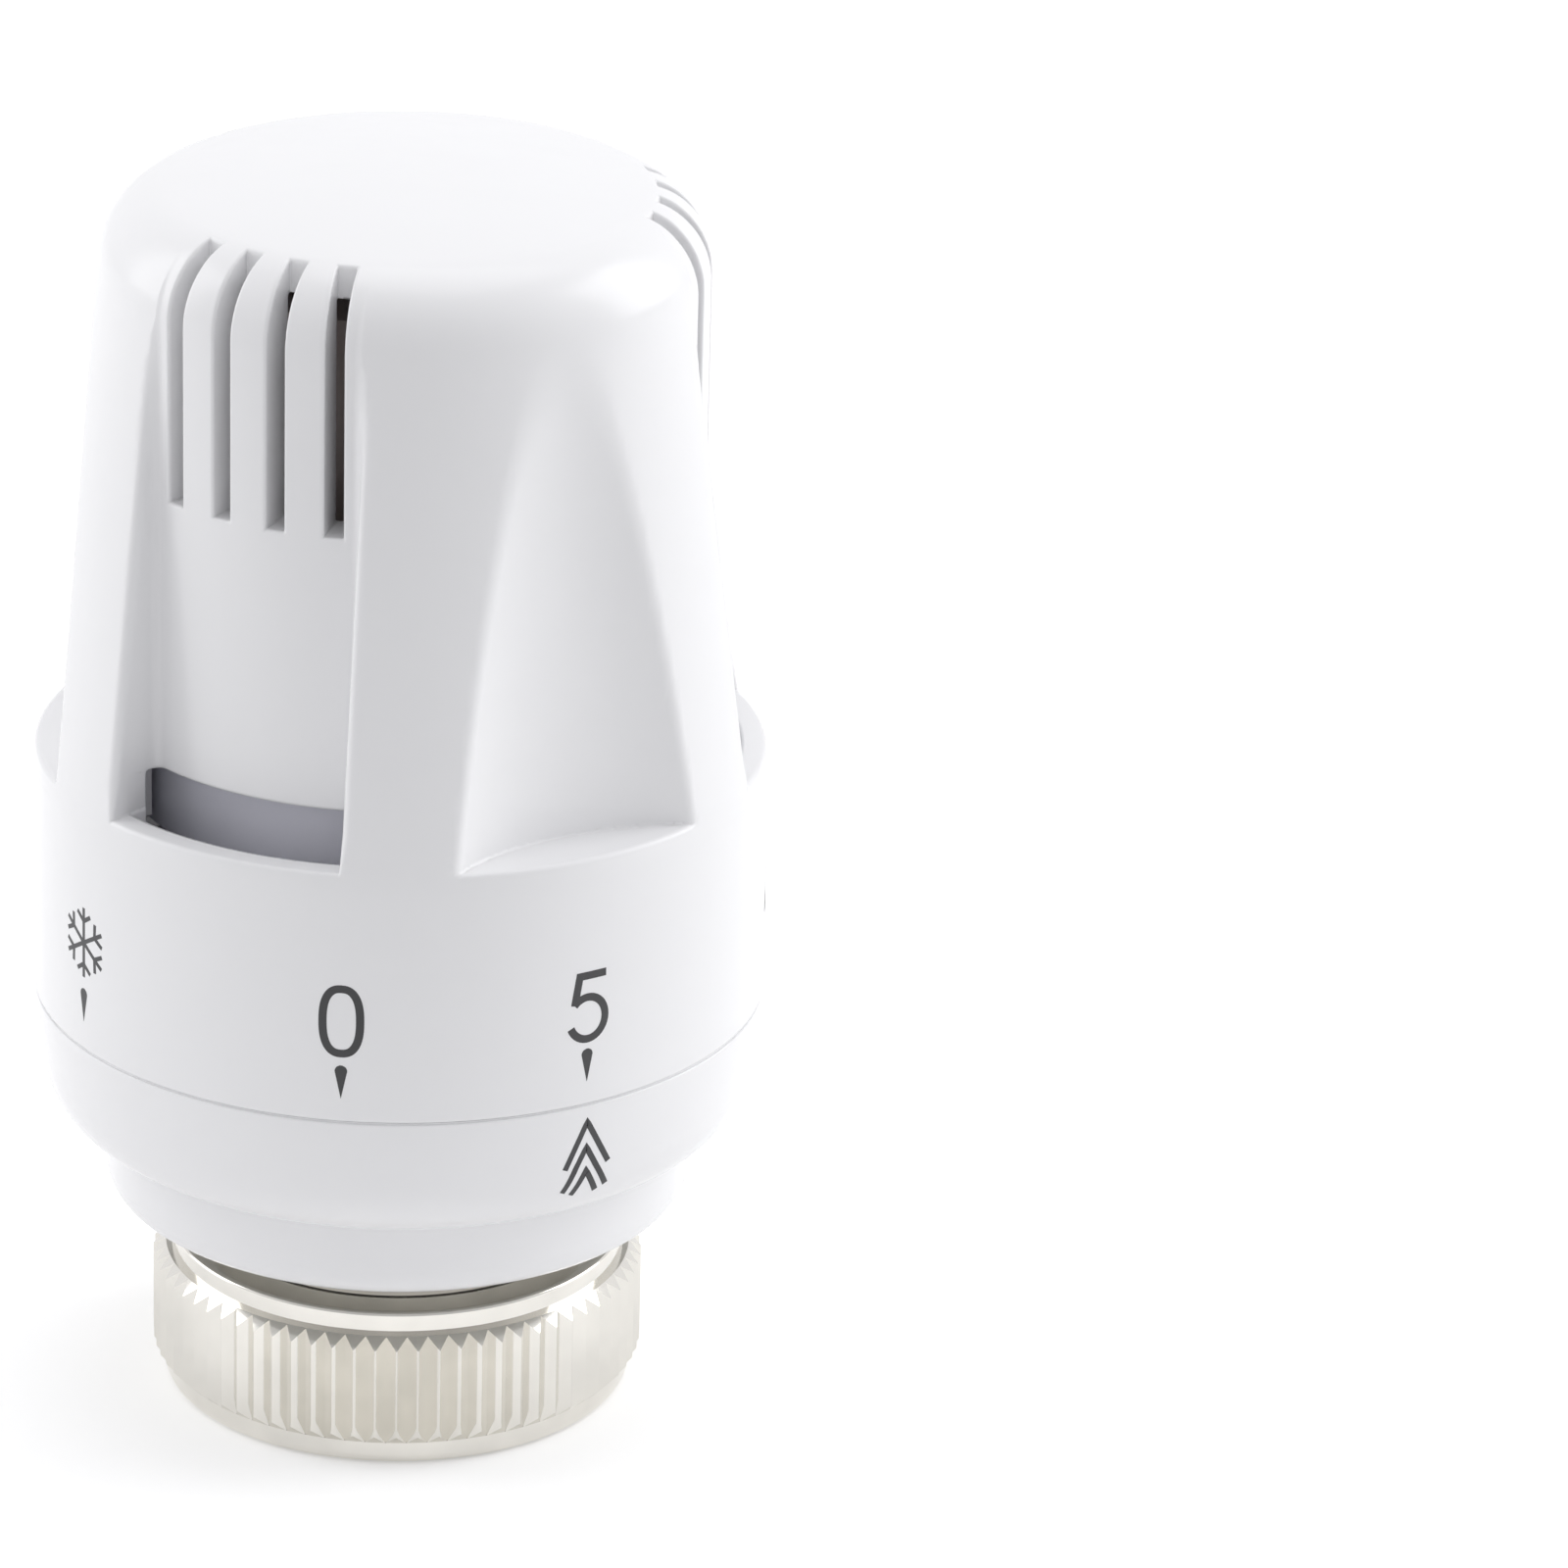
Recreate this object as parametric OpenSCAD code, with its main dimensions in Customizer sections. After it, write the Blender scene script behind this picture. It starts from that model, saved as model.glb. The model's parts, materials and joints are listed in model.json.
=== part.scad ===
// Thermostatic radiator valve head: a numbered dial turns on a fixed base, and a left-hand thread
// inside it moves a liquid sensor up and down. The sensor pushes a rod through the neck, and a
// knurled union nut clamps the head to the valve. Millimetres, +Z up, origin at the middle of the
// nut's lower face. Azimuth 0 is +X, and windows and scoops alternate every 60 degrees.

/* [Union nut] */
// Nominal diameter of the nut's thread
thread_d = 30; // [29:0.5:32]
// Pitch of the nut's thread
thread_pitch = 1.5; // [1:0.25:2]
// Wall from the thread's nominal diameter out to the knurl tips
nut_wall = 2; // [1.8:0.1:3]
// Height of the nut
nut_h = 11.3; // [10.5:0.1:14]
// Thickness of the nut's top flange
nut_flange_t = 2.5; // [1.5:0.1:3]
// Number of knurl teeth
knurl_teeth = 72; // [48:4:90]
// Depth of the knurl teeth
knurl_depth = 0.7; // [0.4:0.05:0.9]
// Height of the smooth rim below the knurl
nut_rim_h = 1.7; // [1.2:0.1:2.5]
// Radius of the rim's lower edge
nut_rim_round = 0.8; // [0.3:0.1:1]
// Height of the smooth collar above the knurl
nut_collar_h = 1.55; // [1:0.05:2.5]
// Step from the knurl tips in to the collar
nut_collar_step = 1.3; // [1.1:0.1:1.5]

/* [Base] */
// Outside diameter of the neck that the nut turns on
neck_d = 24; // [22:0.5:25]
// Wall of the neck
neck_wall = 2.4; // [2:0.1:3]
// Gap between the nut and the foot
nut_gap = 3.05; // [2:0.05:5]
// Diameter of the foot
foot_d = 40.4; // [38:0.2:42]
// Height of the foot that shows under the index ring
foot_h = 5.6; // [4.5:0.1:8]
// Radius of the foot's lower edge
foot_round = 2; // [0.5:0.1:2.5]
// Thickness of the base's floor
floor_t = 3; // [2:0.1:3.5]
// Wall of the foot and of the dial's bearing collar
base_wall = 2.2; // [2:0.1:3]
// Height of the bearing collar above the seam
collar_h = 6.5; // [5.5:0.1:9]

/* [Index ring] */
// Height of the index ring
index_h = 9.6; // [8:0.1:12]
// Draft of the index ring's side, from the seam down to its round edge
index_draft = 0.5; // [0:0.1:1]
// Radius of the index ring's lower edge
index_round = 4.9; // [3:0.1:5.2]

/* [Dial] */
// Diameter of the dial at the seam
dial_d = 50; // [48:0.5:54]
// Height of the numbered skirt
skirt_h = 17.7; // [15:0.1:22]
// Draft of the skirt, from the seam up to the ledge
skirt_draft = 0.12; // [0:0.02:0.4]
// Wall of the skirt at the ledge
skirt_wall = 1.95; // [1.5:0.05:2.2]
// Height from the ledge to the middle of the dome
cap_h = 40.5; // [38:0.1:50]
// Taper of the dial's grip
cap_taper = 7.31; // [5:0.01:8]
// Radius of the shoulder under the dome
shoulder_round = 5.5; // [4:0.1:6.5]
// Radius of the dome
dome_r = 98; // [70:1:200]
// Radius of the louvred panels
panel_r = 20.35; // [20:0.05:20.8]
// Width of a window at the ledge
window_w = 17.4; // [15:0.1:18.5]
// Lean of a window's side walls from its middle plane, in degrees
window_lean = 10.6; // [6:0.2:20]
// Height of the open gap under a panel
panel_gap = 2.5; // [1.5:0.1:4]
// Width of a louvre slot
slot_w = 1.4; // [0.8:0.1:2]
// Number of slots in a window
slot_count = 4; // [2:1:4]
// Angle from slot to slot, in degrees
slot_pitch = 11.4; // [9:0.2:12]
// Height of the slots' lower ends above the ledge
slot_z = 21.6; // [19:0.1:26]
// Depth of the louvres, from the panel in to the dial's hollow
louvre_depth = 3.45; // [3:0.05:3.8]
// Radius of a finger scoop
scoop_r = 18; // [14:0.5:24]
// Distance of a scoop's deepest line from the axis
scoop_deep_r = 20.65; // [20:0.05:22]
// Thickness of the dial's top at the slots
top_t = 2.4; // [1.8:0.1:3]

/* [Drive] */
// Turn of the dial from the open stop to the closed stop, in degrees
dial_turn = 321; // [200:1:330]
// Lead of the two-start thread that moves the sensor
thread_lead = 5; // [4:0.25:6]
// Height of that thread's ridges
ridge_h = 0.75; // [0.5:0.05:0.8]
// Height of the threaded insert in the dial
thread_bush_h = 12; // [11:0.5:14]
// Height of the thread on the sensor carrier
carrier_thread_h = 6; // [5:0.5:6.5]
// Wall of the sensor carrier
carrier_wall = 2; // [1.6:0.1:2.2]
// Wall of the guide tower
tower_wall = 2.5; // [2:0.1:3]
// Width of the keys that stop the carrier from turning
key_w = 2.6; // [2:0.1:4]
// Depth of the keyways in the tower
keyway_depth = 1.3; // [0.8:0.1:1.4]

/* [Sensor] */
// Wall of the sensor's can
can_wall = 0.6; // [0.4:0.05:0.8]
// Height of the can's wide lower part
can_low_h = 7.8; // [7:0.1:9]
// Height of the can's narrow upper part
can_high_h = 13.5; // [12:0.1:14]
// Wire of the over-travel spring
strong_wire = 1.8; // [1.2:0.1:1.9]
// Turns of the over-travel spring
strong_turns = 5; // [4:1:6]
// Number of corrugations of the bellows
bellows_folds = 8; // [5:1:10]
// Diameter of the sensor's pin
pin_d = 4; // [3:0.2:5]
// Upward over-travel of the sensor
overtravel = 2; // [1:0.1:2.4]

/* [Push rod] */
// Diameter of the push rod
rod_d = 7; // [6:0.2:8]
// Wall of the rod's guide bush
bush_wall = 3; // [2:0.1:3.4]
// Wire of the return spring
soft_wire = 1; // [0.6:0.1:1.2]
// Turns of the return spring
soft_turns = 8; // [5:1:9]
// Diameter of the steel tip
tip_d = 3.6; // [3:0.1:4]

/* [Clearances] */
// Radial running clearance of turning and sliding fits
run_clear = 0.08; // [0.05:0.01:0.1]
// Clearance of pieces that are fitted and stay put
fit_clear = 0.05; // [0.02:0.01:0.08]
// Gap at the seam between the index ring and the dial
seam_gap = 0.15; // [0.1:0.05:0.3]
// Clearance round loosely guided pieces
free_clear = 0.35; // [0.25:0.05:0.4]

/* [Hidden] */
$fn = 96;
eps = 0.01;
// Margin by which cutters run past a surface
over = 1;

// Heights of the outer shell, from the nut up
foot_z = nut_h + nut_gap;
index_z = foot_z + foot_h;
seam_z = index_z + index_h;
ledge_z = seam_z + skirt_h;
top_z = ledge_z + cap_h;

// Union nut, whose thread has the depth and flanks of a metric inside thread
thread_depth_ratio = 0.5413;
thread_flank_deg = 30;
thread_r = thread_d / 2;
thread_depth = thread_depth_ratio * thread_pitch;
thread_minor_r = thread_r - thread_depth;
groove_half_w = thread_depth * tan(thread_flank_deg);
// Middle of the first groove, as a share of the pitch
groove_phase = 0.75;
knurl_tip_r = thread_r + nut_wall;
knurl_root_r = knurl_tip_r - knurl_depth;
knurl_relief = 0.1;
nut_rim_r = knurl_root_r - knurl_relief;
nut_collar_r = knurl_tip_r - nut_collar_step;
nut_collar_z = nut_h - nut_collar_h;
nut_edge = 0.3;
flange_z = nut_h - nut_flange_t;
// Plain bore above the thread, which the valve's thread doesn't reach
relief_h = 3.1;
thread_top_z = flange_z - relief_h;

// Neck and its snap ring
neck_r = neck_d / 2;
neck_bore_r = neck_r - neck_wall;
neck_drop = 2.7;
neck_z = flange_z - neck_drop;
neck_shoulder = 1.2;
nut_play = 0.1;
nut_wire = 1.3;
nut_ring_out = 0.2;
nut_ring_r = neck_r + nut_ring_out;
nut_ring_z = flange_z - nut_play - nut_wire / 2;
nut_ring_gap_at = 180;
ring_gap_deg = 30;
groove_clear = 0.1;

// Foot, plate and bearing collar of the base
foot_r = foot_d / 2;
floor_z = foot_z + floor_t;
foot_bore_r = foot_r - base_wall;
index_flange_t = 2;
plate_z = index_z + index_flange_t;
plate_t = 2.5;
// Thickness of the dial's bearing band, inside the skirt's wall
pilot_t = 0.65;
collar_r = dial_d / 2 - skirt_wall - pilot_t;
// Extra wall behind the collar's grooves
collar_back = 0.4;
collar_bore_r = collar_r - base_wall - collar_back;
collar_top_z = seam_z + collar_h;

// Rings between the collar and the dial
pilot_r = collar_r + run_clear;
drag_wire = 1.5;
drag_ring_r = collar_r - drag_wire / 2 + run_clear / 2;
drag_up = 1.4;
drag_z = seam_z + seam_gap + drag_up;
dial_wire = 1.2;
dial_ring_r = (collar_r + pilot_r) / 2;
dial_ring_drop = 1.6;
dial_ring_z = collar_top_z - dial_ring_drop;
dial_ring_gap_at = 200;
// Height of the bearing band above the collar
pilot_over = 0.4;

// Stops that limit the dial's turn
stop_h = 3.5;
stop_clear_deg = 0.5;
stop_deg = (360 - dial_turn) / 2 - stop_clear_deg;
stop_z = collar_top_z;
stop_inset = 0.1;
stop_r = collar_r - stop_inset;
stop_deep = 2.2;
stop_sink = 0.4;
stop_gap = 0.5;
stop_at = 40;

// Grip of the dial
dial_r = dial_d / 2;
ledge_r = dial_r - skirt_draft;
// The taper starts this far below the ledge
ledge_drop = 0.3;
skirt_bore_r = ledge_r - skirt_wall;
undercut = 0.2;
dome_z = top_z - dome_r;
taper_slope = tan(cap_taper);
// Middle of the shoulder's round, which touches the dome and the tapered side
round_a = ledge_r - shoulder_round / cos(cap_taper) + (ledge_z - ledge_drop) * taper_slope;
round_b = round_a * taper_slope + dome_z;
round_c = round_a * round_a + dome_z * dome_z - pow(dome_r - shoulder_round, 2);
round_k = 1 + taper_slope * taper_slope;
round_z = (round_b + sqrt(round_b * round_b - round_k * round_c)) / round_k;
round_r = round_a - round_z * taper_slope;
// Middle of the panels' own round, just above the shoulder's so that the recess fades out
panel_round_r = panel_r - shoulder_round;
panel_round_up = 0.07;
panel_round_z = round_z + panel_round_up;
hollow_r = panel_r - louvre_depth;
slot_run = 0.2;
slot_end_r = hollow_r - slot_run;
// Fall of the dome from its middle to the slots
dome_fall = 1.4;
ceiling_z = top_z - top_t - dome_fall;
panel_z = ledge_z + panel_gap;
// Where a window's side walls meet the ledge's edge, along the window's middle plane
window_x = sqrt(ledge_r * ledge_r - window_w * window_w / 4);
// Angle of the opening under a panel, which runs on behind the ribs
gap_deg = 56;
scoop_floor_t = 2.3;
rib_step = 1.35;
rib_bore_r = panel_r - rib_step;
// Number of windows and of scoops, and the angle from a window to the next scoop
grip_count = 3;
grip_deg = 180 / grip_count;

// Heights of the sensor and its drive, hung from the dial's ceiling
head_clear = 1;
seat_gap = 0.05;
hook_h = 1.2;
hook_z = ceiling_z - head_clear - hook_h;
cap_t = 2.2;
cap_z = hook_z - seat_gap - cap_t;
can_top_z = cap_z - overtravel;
can_step_z = can_top_z - can_high_h;
sensor_z = can_step_z - can_low_h;
carrier_floor_z = sensor_z - seat_gap;
carrier_floor_t = 2.2;
carrier_z = carrier_floor_z - carrier_floor_t;
thread_lift = 1.4;
carrier_thread_z = carrier_z + thread_lift;
carrier_top_z = carrier_thread_z + carrier_thread_h;
bush_overhang = 0.6;
thread_bush_z = carrier_top_z + bush_overhang - thread_bush_h;

// Threaded drive between the dial and the sensor carrier
bush_thread_wall = 1;
bush_seat = 0.65;
thread_bush_r = hollow_r + bush_seat;
bush_root_r = thread_bush_r - bush_thread_wall;
ridge_clear = 0.2;
carrier_r = bush_root_r - ridge_h - ridge_clear;
starts = 2;
ridge_pitch = thread_lead / starts;
ridge_root_w = ridge_pitch / 2;
ridge_taper = 0.6;
ridge_tip_w = ridge_root_w - ridge_taper;
ridge_sink = 0.15;
ridge_margin = 0.2;
ridge_step = 10;
carrier_travel = thread_lead * dial_turn / 360;
sleeve_step = 1.3;
sleeve_r = carrier_r - sleeve_step;
sleeve_bore_r = sleeve_r - carrier_wall;
carrier_bore_r = carrier_r - carrier_wall;
tower_r = sleeve_bore_r - free_clear;
tower_bore_r = tower_r - tower_wall;
tower_clear = 1;
tower_top_z = carrier_z - carrier_travel - tower_clear;
sleeve_h = 17.5;
sleeve_z = carrier_z - sleeve_h;
key_h = 9.5;
key_sink = 0.5;
keyway_clear = 1.5;
keyway_z = sleeve_z - carrier_travel - keyway_clear;
// Collar of the carrier that stands behind the gap under the panels
shield_clear = 0.5;
shield_r = rib_bore_r - shield_clear;
shield_t = 1;
shield_drop = 0.15;
shield_h = 5.4;
shield_z = min(panel_z, thread_bush_z) - shield_drop;
post_count = 3;
post_deg = 24;
post_at = 180 / post_count;
post_step = 0.2;
post_r = carrier_r - post_step;
post_inset = 0.15;
post_sink = 0.5;
hook_lip = 0.8;

// Sensor in its carrier
can_r = carrier_bore_r - free_clear;
can_bore_r = can_r - can_wall;
spring_room = 4;
can_high_r = can_r - spring_room;
can_high_bore_r = can_high_r - can_wall;
end_plate_t = 1;
seat_t = 0.8;
seat_z = can_step_z + seat_t;
strong_r = can_high_r + spring_room / 2;
cap_step = 0.9;
cap_r = carrier_bore_r + cap_step;
cap_bore_r = can_high_r + free_clear;
// Skirt of the spring cap, round the spring and clear of its seat
cap_skirt_gap = 0.3;
cap_skirt_t = 0.9;
cap_skirt_bore_r = strong_r + strong_wire / 2 + cap_skirt_gap;
cap_skirt_lift = 0.4;
cap_skirt_z = seat_z + overtravel + cap_skirt_lift;
fill_r = 1.2;
fill_h = 3;
bellows_z = sensor_z + end_plate_t;
bellows_drop = 3;
bellows_top_z = can_top_z - bellows_drop;
bellows_t = 0.3;
bellows_clear = 1;
bellows_out_r = can_high_bore_r - bellows_clear;
bellows_lip = 0.5;
bellows_fold = 2.2;
bellows_flange_t = 0.4;
bellows_end_t = 0.5;
fold_points = 8;

// Push rod, its bush and its springs
pin_r = pin_d / 2;
pin_head_step = 1.2;
pin_head_r = pin_r + pin_head_step;
pin_head_t = 1;
rod_r = rod_d / 2;
bush_r = rod_r + bush_wall;
bush_flange_r = tower_bore_r - free_clear;
bush_flange_t = 1.5;
bush_drop = 2;
bush_z = foot_z - bush_drop;
bush_top_z = floor_z + bush_flange_t;
cup_step = 3.5;
cup_r = rod_r + cup_step;
cup_h = 5;
cup_drop = 11;
cup_top_z = carrier_z - cup_drop;
cup_z = cup_top_z - cup_h;
cup_recess = 1.2;
clip_t = 0.8;
clip_top_z = bush_z - overtravel - free_clear;
clip_z = clip_top_z - clip_t;
clip_step = 1.6;
clip_r = rod_r + clip_step;
clip_groove = 0.6;
clip_open_deg = 60;
rod_end_out = 1;
rod_end_z = clip_z - rod_end_out;
tip_r = tip_d / 2;
tip_out = 1.4;
tip_in = 2.6;
soft_clear = 1.4;
soft_r = rod_r + soft_clear + soft_wire / 2;

// Plane shapes, radius along x and height along y

module box2(r0, r1, z0, z1) translate([r0, z0]) square([r1 - r0, z1 - z0]);

module disc2(r, z, radius) translate([r, z]) circle(radius);

module turned() rotate_extrude() children();

// Arc of a turned shape, from angle a0 over the given width
module turned_arc(a0, width) rotate([0, 0, a0]) rotate_extrude(angle = width) children();

module round_at(count, start = 0) for (i = [0:count - 1]) rotate([0, 0, start + i * 360 / count]) children();

// Open wire ring of the given wire, with its gap at the given angle
module wire_ring(radius, z, wire, gap_at)
    turned_arc(gap_at + ring_gap_deg / 2, 360 - ring_gap_deg) disc2(radius, z, wire / 2);

// Helical forms

function turn_point(radius, z, angle) = [radius * cos(angle), radius * sin(angle), z];

// Triangles of a tube of rings, with both ends closed by fans
function tube_faces(rings, sides) = concat(
    [for (i = [0:rings - 2], j = [0:sides - 1])
        [i * sides + j, (i + 1) * sides + j, i * sides + (j + 1) % sides]],
    [for (i = [0:rings - 2], j = [0:sides - 1])
        [i * sides + (j + 1) % sides, (i + 1) * sides + j, (i + 1) * sides + (j + 1) % sides]],
    [for (j = [1:sides - 2]) [0, j, j + 1]],
    [for (j = [1:sides - 2]) let (base = (rings - 1) * sides) [base, base + j + 1, base + j]]);

// Left-hand ridge from z0 to z1, its root at root_r and its tip at tip_r, passing z_ref at angle 0
module ridge(root_r, tip_r, z0, z1, z_ref) {
    inset = ridge_root_w / 2 + ridge_margin;
    a0 = (z_ref - z1 + inset) * 360 / thread_lead;
    a1 = (z_ref - z0 - inset) * 360 / thread_lead;
    steps = ceil((a1 - a0) / ridge_step);
    corners = [[root_r, -ridge_root_w / 2], [tip_r, -ridge_tip_w / 2], [tip_r, ridge_tip_w / 2],
        [root_r, ridge_root_w / 2]];
    points = [for (i = [0:steps], c = corners) let (a = a0 + (a1 - a0) * i / steps)
        turn_point(c[0], z_ref - thread_lead * a / 360 + c[1], a)];
    faces = tube_faces(steps + 1, len(corners));
    polyhedron(points, tip_r < root_r ? faces : [for (f = faces) [f[2], f[1], f[0]]]);
}

// Height of a coil spring's wire after the given number of turns: closed end turns, even middle
end_gap = 0.5;
function coil_z(turn, turns, wire, length) =
    let (close = wire + end_gap, open = (length - wire - 2 * close) / (turns - 2))
    wire / 2 + (turn < 1 ? turn * close
        : turn > turns - 1 ? close + (turns - 2) * open + (turn - turns + 1) * close
        : close + (turn - 1) * open);

curl_rings = 8;
wire_sides = 6;
function coil_path(radius, turns, wire, length) = [for (i = [0:turns * curl_rings])
    turn_point(radius, coil_z(i / curl_rings, turns, wire, length), i * 360 / curl_rings)];

function least_gap(path, wire) = min([for (i = [0:len(path) - 1], j = [i + curl_rings / 2:1:len(path) - 1])
    norm(path[i] - path[j])]) - wire;

module coil_spring(radius, turns, wire, z0, z1) {
    path = coil_path(radius, turns, wire, z1 - z0);
    echo(least_gap_of_the_coil = least_gap(path, wire));
    points = [for (i = [0:len(path) - 1], k = [0:wire_sides - 1])
        let (side = wire / 2 * cos(k * 360 / wire_sides), rise = wire / 2 * sin(k * 360 / wire_sides))
        turn_point(radius + side, z0 + path[i][2] + rise, i * 360 / curl_rings)];
    polyhedron(points, [for (f = tube_faces(len(path), wire_sides)) [f[2], f[1], f[0]]]);
}

// Union nut

module knurl_outline() {
    tooth = 360 / knurl_teeth;
    polygon([for (i = [0:knurl_teeth - 1], half = [0, 1])
        let (r = half == 0 ? knurl_tip_r : knurl_root_r, a = (i + half / 2) * tooth)
        [r * cos(a), r * sin(a)]]);
}

module knurl() {
    chamfer = knurl_depth + knurl_relief;
    intersection() {
        translate([0, 0, nut_rim_h]) linear_extrude(nut_collar_z - nut_rim_h) knurl_outline();
        turned() polygon([[0, nut_rim_h], [knurl_tip_r - chamfer, nut_rim_h],
            [knurl_tip_r + eps, nut_rim_h + chamfer + eps], [knurl_tip_r + eps, nut_collar_z - chamfer - eps],
            [knurl_tip_r - chamfer, nut_collar_z], [0, nut_collar_z]]);
    }
}

module nut_outside() turned() {
    box2(0, nut_rim_r - nut_rim_round, 0, nut_collar_z);
    box2(0, nut_rim_r, nut_rim_round, nut_collar_z);
    disc2(nut_rim_r - nut_rim_round, nut_rim_round, nut_rim_round);
    polygon([[0, nut_rim_h], [nut_collar_r, nut_rim_h], [nut_collar_r, nut_h - nut_edge],
        [nut_collar_r - nut_edge, nut_h], [0, nut_h]]);
}

module nut_inside() turned() {
    grooves = floor((thread_top_z - thread_depth) / thread_pitch);
    box2(0, thread_minor_r, -over, flange_z);
    polygon([[0, -over], [thread_r + over, -over], [thread_r, 0], [thread_minor_r, thread_depth],
        [0, thread_depth]]);
    for (i = [0:grooves - 1])
        translate([thread_minor_r - eps, thread_depth / 2 + (i + groove_phase) * thread_pitch])
            polygon([[0, -groove_half_w], [thread_depth + eps, 0], [0, groove_half_w]]);
    box2(0, thread_r, thread_top_z, flange_z);
    box2(0, neck_r + run_clear, flange_z - over, nut_h + over);
}

module union_nut() color("#cfcabf") difference() {
    union() {
        nut_outside();
        knurl();
    }
    nut_inside();
}

module nut_snap_ring() color("#9a9ca0") wire_ring(nut_ring_r, nut_ring_z, nut_wire, nut_ring_gap_at);

// Base and index ring

module base_section() {
    box2(foot_r - foot_round - eps, foot_r, foot_z + foot_round, plate_z);
    box2(0, foot_r - foot_round, foot_z, floor_z);
    disc2(foot_r - foot_round, foot_z + foot_round, foot_round);
    box2(foot_bore_r, foot_r - foot_round + eps, foot_z + foot_round, plate_z + plate_t);
    box2(foot_bore_r, collar_r, plate_z, plate_z + plate_t);
    box2(collar_bore_r, collar_r, plate_z, collar_top_z);
    box2(tower_bore_r, tower_r, foot_z + eps, tower_top_z);
    box2(neck_bore_r, neck_r, neck_z, foot_z + eps);
    box2(neck_bore_r, neck_r + neck_shoulder, nut_h + nut_play, foot_z + eps);
}

module base_grooves() {
    ring_half = nut_wire / 2 + groove_clear;
    snap_half = dial_wire / 2 + groove_clear;
    drag_half = drag_wire / 2 + groove_clear;
    box2(nut_ring_r - ring_half, neck_r + over, nut_ring_z - ring_half, nut_ring_z + ring_half);
    box2(dial_ring_r - snap_half, collar_r + over, dial_ring_z - snap_half, dial_ring_z + snap_half);
    box2(drag_ring_r - drag_half, collar_r + over, drag_z - drag_half, drag_z + drag_half);
    box2(0, bush_r + fit_clear, foot_z - over, floor_z + over);
}

module base_body() color("#f2f2f1") {
    keyway_w = key_w + 2 * free_clear;
    difference() {
        turned() difference() {
            base_section();
            base_grooves();
        }
        round_at(post_count) translate([tower_r - keyway_depth, -keyway_w / 2, keyway_z])
            cube([keyway_depth + over, keyway_w, tower_top_z - keyway_z + over]);
    }
    turned_arc(stop_at, stop_deg) box2(stop_r - stop_deep, stop_r, stop_z - stop_sink, stop_z + stop_h);
}

module index_ring() color("#f4f4f3") turned() difference() {
    side_r = dial_r - index_draft;
    round_r0 = side_r - index_round;
    round_z0 = index_z + index_round;
    union() {
        polygon([[round_r0, round_z0 - eps], [side_r, round_z0], [dial_r, seam_z], [round_r0, seam_z]]);
        disc2(round_r0, round_z0, index_round);
    }
    box2(0, foot_r + fit_clear, 0, seam_z);
    box2(0, collar_r + fit_clear, plate_z, seam_z + over);
}

module dial_snap_ring() color("#9a9ca0") wire_ring(dial_ring_r, dial_ring_z, dial_wire, dial_ring_gap_at);

module friction_ring() color("#2b2b2c") turned() disc2(drag_ring_r, drag_z, drag_wire / 2);

// Dial

module grip_section() {
    unit = [round_r, round_z - dome_z] / norm([round_r, round_z - dome_z]);
    out = [round_r, round_z] + unit * (shoulder_round + over);
    // The side ends just inside the shoulder's round, so that the two cross cleanly
    side = [round_r, round_z] + (shoulder_round - eps) * [cos(cap_taper), sin(cap_taper)];
    polygon([[0, seam_z + seam_gap], [dial_r, seam_z + seam_gap], [ledge_r, ledge_z - ledge_drop], side,
        [round_r, round_z], [0, round_z]]);
    disc2(round_r, round_z, shoulder_round);
    intersection() {
        disc2(0, dome_z, dome_r);
        polygon([[0, round_z - over], [round_r, round_z - over], [round_r, round_z], out, [0, top_z + over]]);
    }
}

module dial_hollow() {
    snap_half = dial_wire / 2 + 2 * groove_clear;
    box2(0, pilot_r, seam_z, collar_top_z + over);
    box2(0, dial_ring_r + snap_half, dial_ring_z - snap_half, dial_ring_z + snap_half);
    box2(0, skirt_bore_r + undercut, collar_top_z + pilot_over, ledge_z - scoop_floor_t);
    box2(0, rib_bore_r, ledge_z - scoop_floor_t - over, panel_z);
    box2(0, thread_bush_r + fit_clear, panel_z - over, thread_bush_z + thread_bush_h);
    box2(0, hollow_r, panel_z, ceiling_z);
}

// Recess of a window: outside the panel, between two side walls, and open under the panel
module window_section() difference() {
    box2(panel_round_r, dial_r + over, ledge_z, top_z + over);
    box2(panel_round_r - over, panel_r, panel_z, panel_round_z);
    disc2(panel_round_r, panel_round_z, shoulder_round);
}

function window_half(x) = window_w / 2 + (x - window_x) * tan(window_lean);

module window_plan() {
    far = dial_r + over;
    polygon([[0, -window_half(0)], [far, -window_half(far)], [far, window_half(far)], [0, window_half(0)]]);
}

module window() {
    intersection() {
        turned_arc(-grip_deg / 2, grip_deg) window_section();
        translate([0, 0, ledge_z - over]) linear_extrude(cap_h + 3 * over) window_plan();
    }
    turned_arc(-gap_deg / 2, gap_deg)
        box2(rib_bore_r - over, skirt_bore_r, ledge_z - scoop_floor_t - over, panel_z);
}

module slots() for (i = [0:slot_count - 1])
    rotate([0, 0, (i - (slot_count - 1) / 2) * slot_pitch])
        translate([slot_end_r, -slot_w / 2, ledge_z + slot_z])
            cube([dial_r, slot_w, top_z]);

module scoop() translate([scoop_deep_r + scoop_r, 0, ledge_z]) cylinder(r = scoop_r, h = cap_h + over);

module dial_cap() color("#f6f6f5") {
    difference() {
        turned() difference() {
            grip_section();
            dial_hollow();
        }
        round_at(grip_count) {
            window();
            slots();
        }
        round_at(grip_count, grip_deg) scoop();
    }
    turned_arc(stop_at - stop_clear_deg - stop_deg, stop_deg)
        box2(stop_r - stop_deep, skirt_bore_r + undercut + stop_sink, stop_z + stop_gap, stop_z + stop_h);
}

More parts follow.
